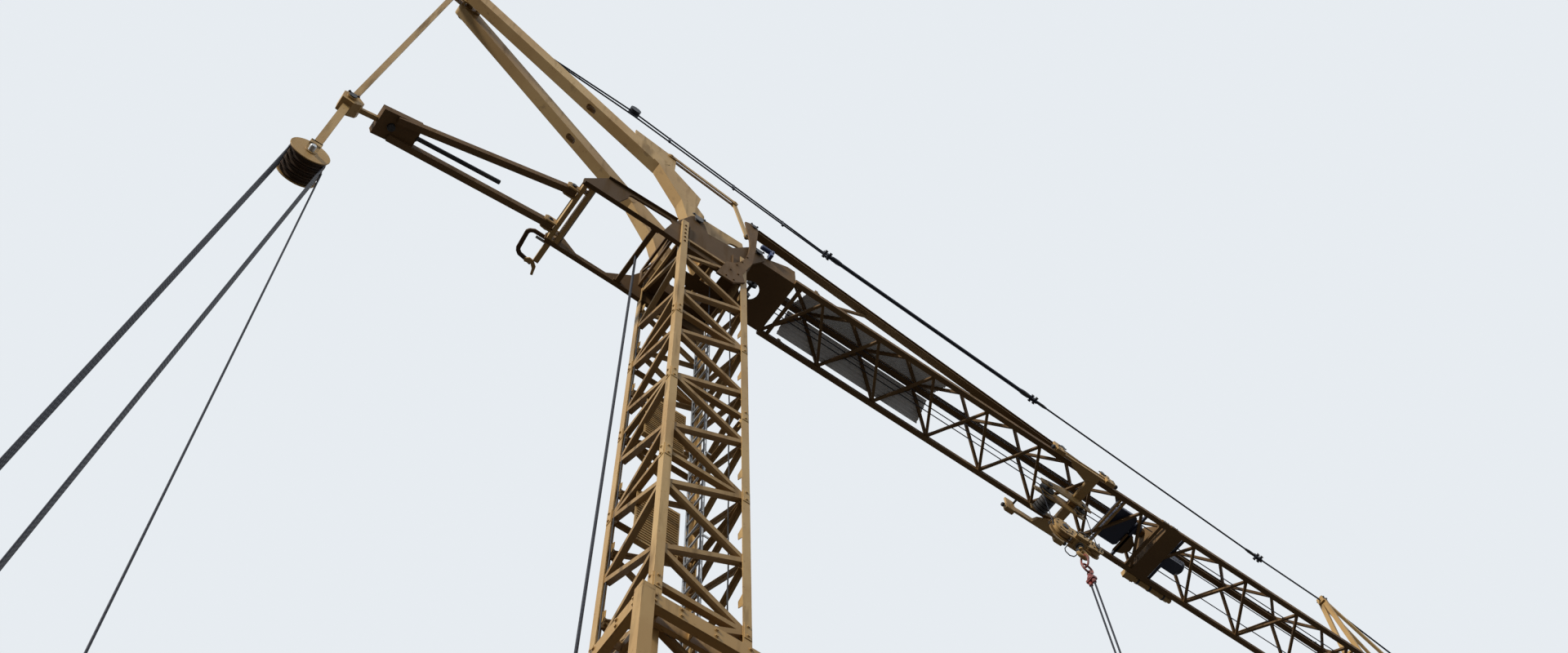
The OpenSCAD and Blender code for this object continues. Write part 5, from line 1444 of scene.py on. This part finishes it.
def block_fittings():
    """Bolt rings, pin caps and round covers on the hook block's flanks, and wire handles at its sides."""
    parts = []
    for side in (-1, 1):
        face = side * 0.072
        for x, ring in ((7.38, 0.165), (8.07, 0.105)):
            parts.append(lathe(disc(0.060, 0.014, 0.004), (x, side * 0.086, HOOK_Z), (0, side, 0), 24))
            parts += bolts(upright(circle((x, HOOK_Z), ring, 8), face), (0, side, 0), 0.013)
        spots = grid((7.66, 7.82), (face,), (HOOK_Z - 0.15, HOOK_Z + 0.09))
        parts += bolts(spots, (0, side, 0), 0.016)
    piece("block_bolts", parts, dark_steel, TROLLEY)
    grip = ((7.56, 0.132, 24.535), (7.56, 0.19, 24.53), (7.59, 0.215, 24.50), (7.68, 0.225, 24.47))
    grip += ((7.77, 0.215, 24.50), (7.80, 0.19, 24.53), (7.80, 0.132, 24.535))
    parts = []
    for side in (-1, 1):
        parts.append(wire([(x, side * y, z) for x, y, z in grip], 0.010, 8))
    for x in (7.20, 7.44, 7.86, 8.16):
        loop = [(x, -0.074, 24.80), (x, -0.080, 24.86), (x + 0.02, 0.0, 24.90)]
        loop += [(x, 0.080, 24.86), (x, 0.074, 24.80)]
        parts.append(wire(loop, 0.008, 6))
    piece("block_handles", parts, dark_steel, TROLLEY)
    cover = circle((7.38, HOOK_Z), 0.145, 28)
    parts = [cut_plate(cover, "y", side * 0.071, side * 0.082) for side in (-1, 1)]
    piece("block_flank_covers", parts, ochre, TROLLEY)


def hook_fittings():
    """The nut over the cross piece, the hook's collar and the sprung keeper over its mouth."""
    parts = [lathe(disc(0.068, 0.03, 0.006), (TROLLEY_X, 0, 24.445), UP, 24)]
    parts.append(lathe(tube_profile(0.036, 0.050, 0.03), (TROLLEY_X, 0, 24.38), UP, 20))
    keeper = ((7.585, 24.285), (7.612, 24.300), (7.655, 24.195), (7.640, 24.185))
    parts.append(cut_plate(keeper, "y", -0.020, 0.020, 0.002))
    piece("hook_fittings", parts, dark_steel, HOOK)


def sling_link(z, across, along, height, radius, sides, count):
    """A closed link of round bar that hangs around a height on the hook's axis."""
    angles = [i * math.tau / count for i in range(count)]
    waves = [(math.sin(angle), math.cos(angle)) for angle in angles]
    points = [(TROLLEY_X + along * wave, across * wave, z + height * drop) for wave, drop in waves]
    return wire(points, radius, sides, True)


def sling_pieces():
    """The lifting sling: master link, ring, red coupling and two wire legs with end hooks."""
    parts = [
        sling_link(24.024, across=0.075, along=0.0, height=0.160, radius=0.018, sides=12, count=40),
        sling_link(23.795, across=0.0, along=0.105, height=0.105, radius=0.018, sides=12, count=40),
        sling_link(23.665, across=0.036, along=0.0, height=0.050, radius=0.012, sides=8, count=20),
    ]
    piece("sling_ring", parts, hook_paint, HOOK)
    body = ((0.0, 0.0), (0.050, 0.0), (0.064, 0.014), (0.068, 0.050))
    body += ((0.056, 0.095), (0.034, 0.135), (0.024, 0.175), (0.0, 0.175))
    parts = [lathe(body, (TROLLEY_X, 0, 23.450), UP, 24)]
    parts.append(block((7.650, -0.085, 23.430), (7.750, 0.085, 23.500), 0.014))
    ferrule = ((0.0, 0.0), (0.022, 0.0), (0.033, 0.012), (0.034, 0.075), (0.026, 0.095), (0.0, 0.095))
    parts += [lathe(ferrule, (TROLLEY_X, y, 23.345), UP, 20) for y in SLING_LEGS_Y]
    piece("sling_coupling", parts, coupling_red, HOOK)
    parts = []
    for y in SLING_LEGS_Y:
        leg = [(TROLLEY_X, y, 23.36), (TROLLEY_X, y * 1.02, 22.0), (TROLLEY_X, y, 20.45)]
        parts.append(wire(leg, 0.016, 10))
    piece("sling_legs", parts, rope, HOOK)
    sleeve = ((0.0, 0.0), (0.016, 0.0), (0.022, 0.014), (0.022, 0.106), (0.016, 0.120), (0.0, 0.120))
    point = ((0.0, 0.0), (0.014, 0.0), (0.018, 0.010), (0.0, 0.022))
    parts = []
    for y in SLING_LEGS_Y:
        parts.append(lathe(sleeve, (TROLLEY_X, y, 20.381), UP, 18))
        bend = upright(arc((TROLLEY_X, 20.326), 0.055, 90, -160, 18), y)
        parts.append(wire(bend, 0.014, 10))
        parts.append(lathe(point, bend[-1], (-0.34, 0, 0.94), 12))
    piece("sling_hooks", parts, dark_steel, HOOK, ("sling",))


trolley_fittings()
trolley_plates()
block_fittings()
hook_fittings()
sling_pieces()


# The head's cross frames and side plates
FLOOR_Z = NODE_TOP + 0.08
HEAD_BODY = (
    (-0.67, 25.59), (-0.43, 26.19), (-0.38, 26.265), (-0.22, 26.265), (-0.17, 26.19), (-0.10, 25.88),
    (0.38, 25.98),
    (0.74, 26.55), (0.81, 26.58), (0.95, 26.58), (1.01, 26.50), (1.01, 26.32), (0.76, 25.83), (0.52, 24.64),
    (-0.64, 24.64), (-0.98, 24.67),
)
RIGHT_ARM = ((-2.32, 24.67), (-2.32, 24.87), (-1.94, 25.50))
LEFT_ARM = (
    (-2.32, 24.67), (-2.32, 24.87), (-2.12, 25.12), (-2.06, 25.12), (-1.78, 24.80), (-1.24, 24.80),
    (-0.80, 25.30),
)


def end_frame(low_x, high_x, height):
    """An open frame across the head, with a diagonal on each side of its middle."""
    top = FLOOR_Z + height
    low = FLOOR_Z + 0.09
    high = top - 0.07
    parts = [block((low_x, -PLATE_IN, FLOOR_Z), (high_x, PLATE_IN, FLOOR_Z + 0.10))]
    parts.append(block((low_x, -PLATE_IN, top - 0.08), (high_x, PLATE_IN, top)))
    for side in (-1, 1):
        parts.append(block((low_x, side * PLATE_IN, low), (high_x, side * (PLATE_IN - 0.07), high)))
        foot, post = side * 0.02, side * (PLATE_IN - 0.06)
        outline = ((foot, low), (side * 0.08, low), (post, top - 0.12), (post, high))
        parts.append(cut_plate(outline, "x", low_x + 0.005, high_x - 0.005))
    return parts


def cross_frames():
    """Open end frames across the head, its floor with four holes and the beam across the rear arms."""
    parts = end_frame(-0.67, -0.63, 0.59) + end_frame(0.50, 0.54, 0.56)
    for low, high in ((-PLATE_IN, -0.36), (-0.10, 0.10), (0.36, PLATE_IN)):
        parts.append(block((-0.54, low, FLOOR_Z), (0.54, high, FLOOR_Z + 0.03)))
    for low, high in ((-0.54, -0.30), (-0.06, 0.06), (0.30, 0.54)):
        parts.append(block((low, -0.37, FLOOR_Z + 0.002), (high, 0.37, FLOOR_Z + 0.028)))
    parts.append(block((-1.07, -PLATE_IN, HEAD_LOW + 0.06), (-0.99, PLATE_IN, HEAD_LOW + 0.12)))
    low_x, high_x, low, high = -1.10, -0.96, HEAD_LOW + 0.05, HEAD_LOW + 0.13
    outline = ((low_x, low), (high_x, low), (high_x, high), (low_x, high))
    for side in (-1, 1):
        parts.append(cut_plate(outline, "y", side * PLATE_IN, side * (PLATE_IN - 0.02)))
    # The frames take the darkened head ochre, as painted shade.
    piece("head_cross_frames", parts, head_shaded_ochre, UPPERWORKS, ("head_cross_plates",))


def head_sides():
    """The side plates: the right one with its window, the left one with its lower rail and gussets."""
    left_plate = cut_plate(LEFT_ARM + HEAD_BODY, "y", PLATE_IN, PLATE_OUT, 0.004)
    right_plate = cut_plate(RIGHT_ARM + HEAD_BODY, "y", -PLATE_OUT, -PLATE_IN, 0.0)
    outline = [(-1.70, 24.81), (-1.56, 25.22)] + arc((-1.46, 25.31), 0.09, 170, 90, 5)
    outline += [(-0.80, 25.46), (-0.75, 25.40), (-0.90, 24.81)]
    window = cut_plate(outline, "y", -0.65, -0.40, 0.0)
    opening = right_plate.modifiers.new("window", "BOOLEAN")
    opening.object = window
    opening.operation = "DIFFERENCE"
    opening.solver = "EXACT"
    apply_modifiers(right_plate)
    bpy.data.objects.remove(window)
    round_edges(right_plate, 0.004, 1)
    plates = [left_plate, right_plate]
    # The plates take the darkened head ochre, as painted shade.
    piece("head_sides", plates, head_shaded_ochre, UPPERWORKS, ("head_side_plates",))


# The upper mast's bars are angles: a thin inner leg runs along the lower edge of each
BAR_COUNT = 16
LEG_END = 0.50
LEG_FACES = (-0.550, -0.506)
LEG_DROP = 0.026
LEG_THICK = 0.007
BAR_SLANT = BAR_RISE / 1.10


def angle_legs():
    """Inner legs on the slanted and level bars of the four faces."""
    outside, inside = LEG_FACES
    middle = BAR_RISE / 2 - LEG_DROP * math.hypot(1.0, BAR_SLANT)
    legs = []
    for lean in (1, -1):
        left = middle - lean * LEG_END * BAR_SLANT
        right = middle + lean * LEG_END * BAR_SLANT
        outline = [(-LEG_END, left), (LEG_END, right)]
        outline += [(LEG_END, right + LEG_THICK), (-LEG_END, left + LEG_THICK)]
        leg = cut_plate(outline, "y", outside, inside, 0.0)
        first = 0 if lean > 0 else 1
        legs += copies(leg, [(0, 0, BAR_START + BAR_RISE * i) for i in range(first, BAR_COUNT, 2)])
    level = block((-LEG_END, outside, -LEG_DROP), (LEG_END, inside, -LEG_DROP + LEG_THICK), 0.0)
    legs += copies(level, [(0, 0, z) for z in MODULE_LEVELS])
    swap = Matrix(((0, 1, 0, 0), (1, 0, 0, 0), (0, 0, 1, 0), (0, 0, 0, 1)))
    back = Matrix(((0, -1, 0, 0), (-1, 0, 0, 0), (0, 0, 1, 0), (0, 0, 0, 1)))
    faces = [Matrix(), Matrix.Diagonal((1, -1, 1, 1)), swap, back]
    # The legs take the darker lacing ochre, as painted shade.
    piece("mast_angle_legs", copies(joined(legs), faces), lacing_shaded_ochre, UPPERWORKS)


cross_frames()
head_sides()
angle_legs()


def build_stage():
    """A pale floor that the crane stands on. It throws little light back up."""
    bpy.ops.object.select_all(action="DESELECT")
    bpy.ops.mesh.primitive_circle_add(vertices=96, radius=260.0, fill_type="NGON", location=(0, 0, -0.002))
    floor = bpy.context.object
    floor.name = "floor"
    material, tree, shader = new_material("pale_floor")
    seen = tree.nodes.new("ShaderNodeLightPath").outputs["Is Camera Ray"]
    speckle = ramp(tree, noise(tree, scale=0.5, detail=3.0), low=0.3, high=0.7)
    pale = mix_colour(tree, speckle, FLOOR_GREY, FLOOR_PALE)
    tree.links.new(mix_colour(tree, seen, FLOOR_BOUNCE, pale), shader.inputs["Base Color"])
    shader.inputs["Roughness"].default_value = 0.9
    floor.data.materials.append(material)


def build_world():
    """Soft light from above, and a pale background for what the camera and the gloss see."""
    world = bpy.data.worlds.new("studio")
    scene.world = world
    world.use_nodes = True
    tree = world.node_tree
    tree.nodes.clear()
    path = tree.nodes.new("ShaderNodeLightPath")
    seen = math_node(tree, "MAXIMUM", path.outputs["Is Camera Ray"], path.outputs["Is Glossy Ray"])
    seen = math_node(tree, "MAXIMUM", seen, path.outputs["Is Transmission Ray"])
    mix = tree.nodes.new("ShaderNodeMixShader")
    tree.links.new(seen, mix.inputs[0])
    for place, colour, strength in ((1, SKY_LIGHT, 0.24), (2, SKY_SEEN, 1.0)):
        background = tree.nodes.new("ShaderNodeBackground")
        set_values(background, {"Color": colour, "Strength": strength})
        tree.links.new(background.outputs[0], mix.inputs[place])
    output = tree.nodes.new("ShaderNodeOutputWorld")
    tree.links.new(mix.outputs[0], output.inputs["Surface"])


def add_sun(name, towards, strength, angle, colour):
    """A distant soft lamp that shines along a direction."""
    data = bpy.data.lights.new(name, "SUN")
    data.energy = strength
    data.angle = math.radians(angle)
    data.color = colour
    lamp = bpy.data.objects.new(name, data)
    lamp.rotation_euler = Vector(towards).to_track_quat("-Z", "Y").to_euler()
    scene.collection.objects.link(lamp)


def build_camera():
    """The camera at the photograph's viewing angle."""
    data = bpy.data.cameras.new("camera")
    data.lens = CAMERA_LENS
    data.sensor_width = SENSOR_WIDTH
    data.sensor_fit = "HORIZONTAL"
    data.clip_end = 500.0
    camera = bpy.data.objects.new("camera", data)
    camera.location = CAMERA_PLACE
    camera.rotation_euler = [math.radians(turn) for turn in CAMERA_TURN]
    scene.collection.objects.link(camera)
    scene.camera = camera


build_stage()
build_world()
build_camera()
add_sun("key", towards=(0.84, 0.25, -0.46), strength=3.5, angle=8.0, colour=(1.0, 0.95, 0.87))
add_sun("fill", towards=(-0.5, 0.7, -0.35), strength=0.42, angle=40.0, colour=(0.85, 0.92, 1.0))
scene.view_settings.view_transform = "Standard"
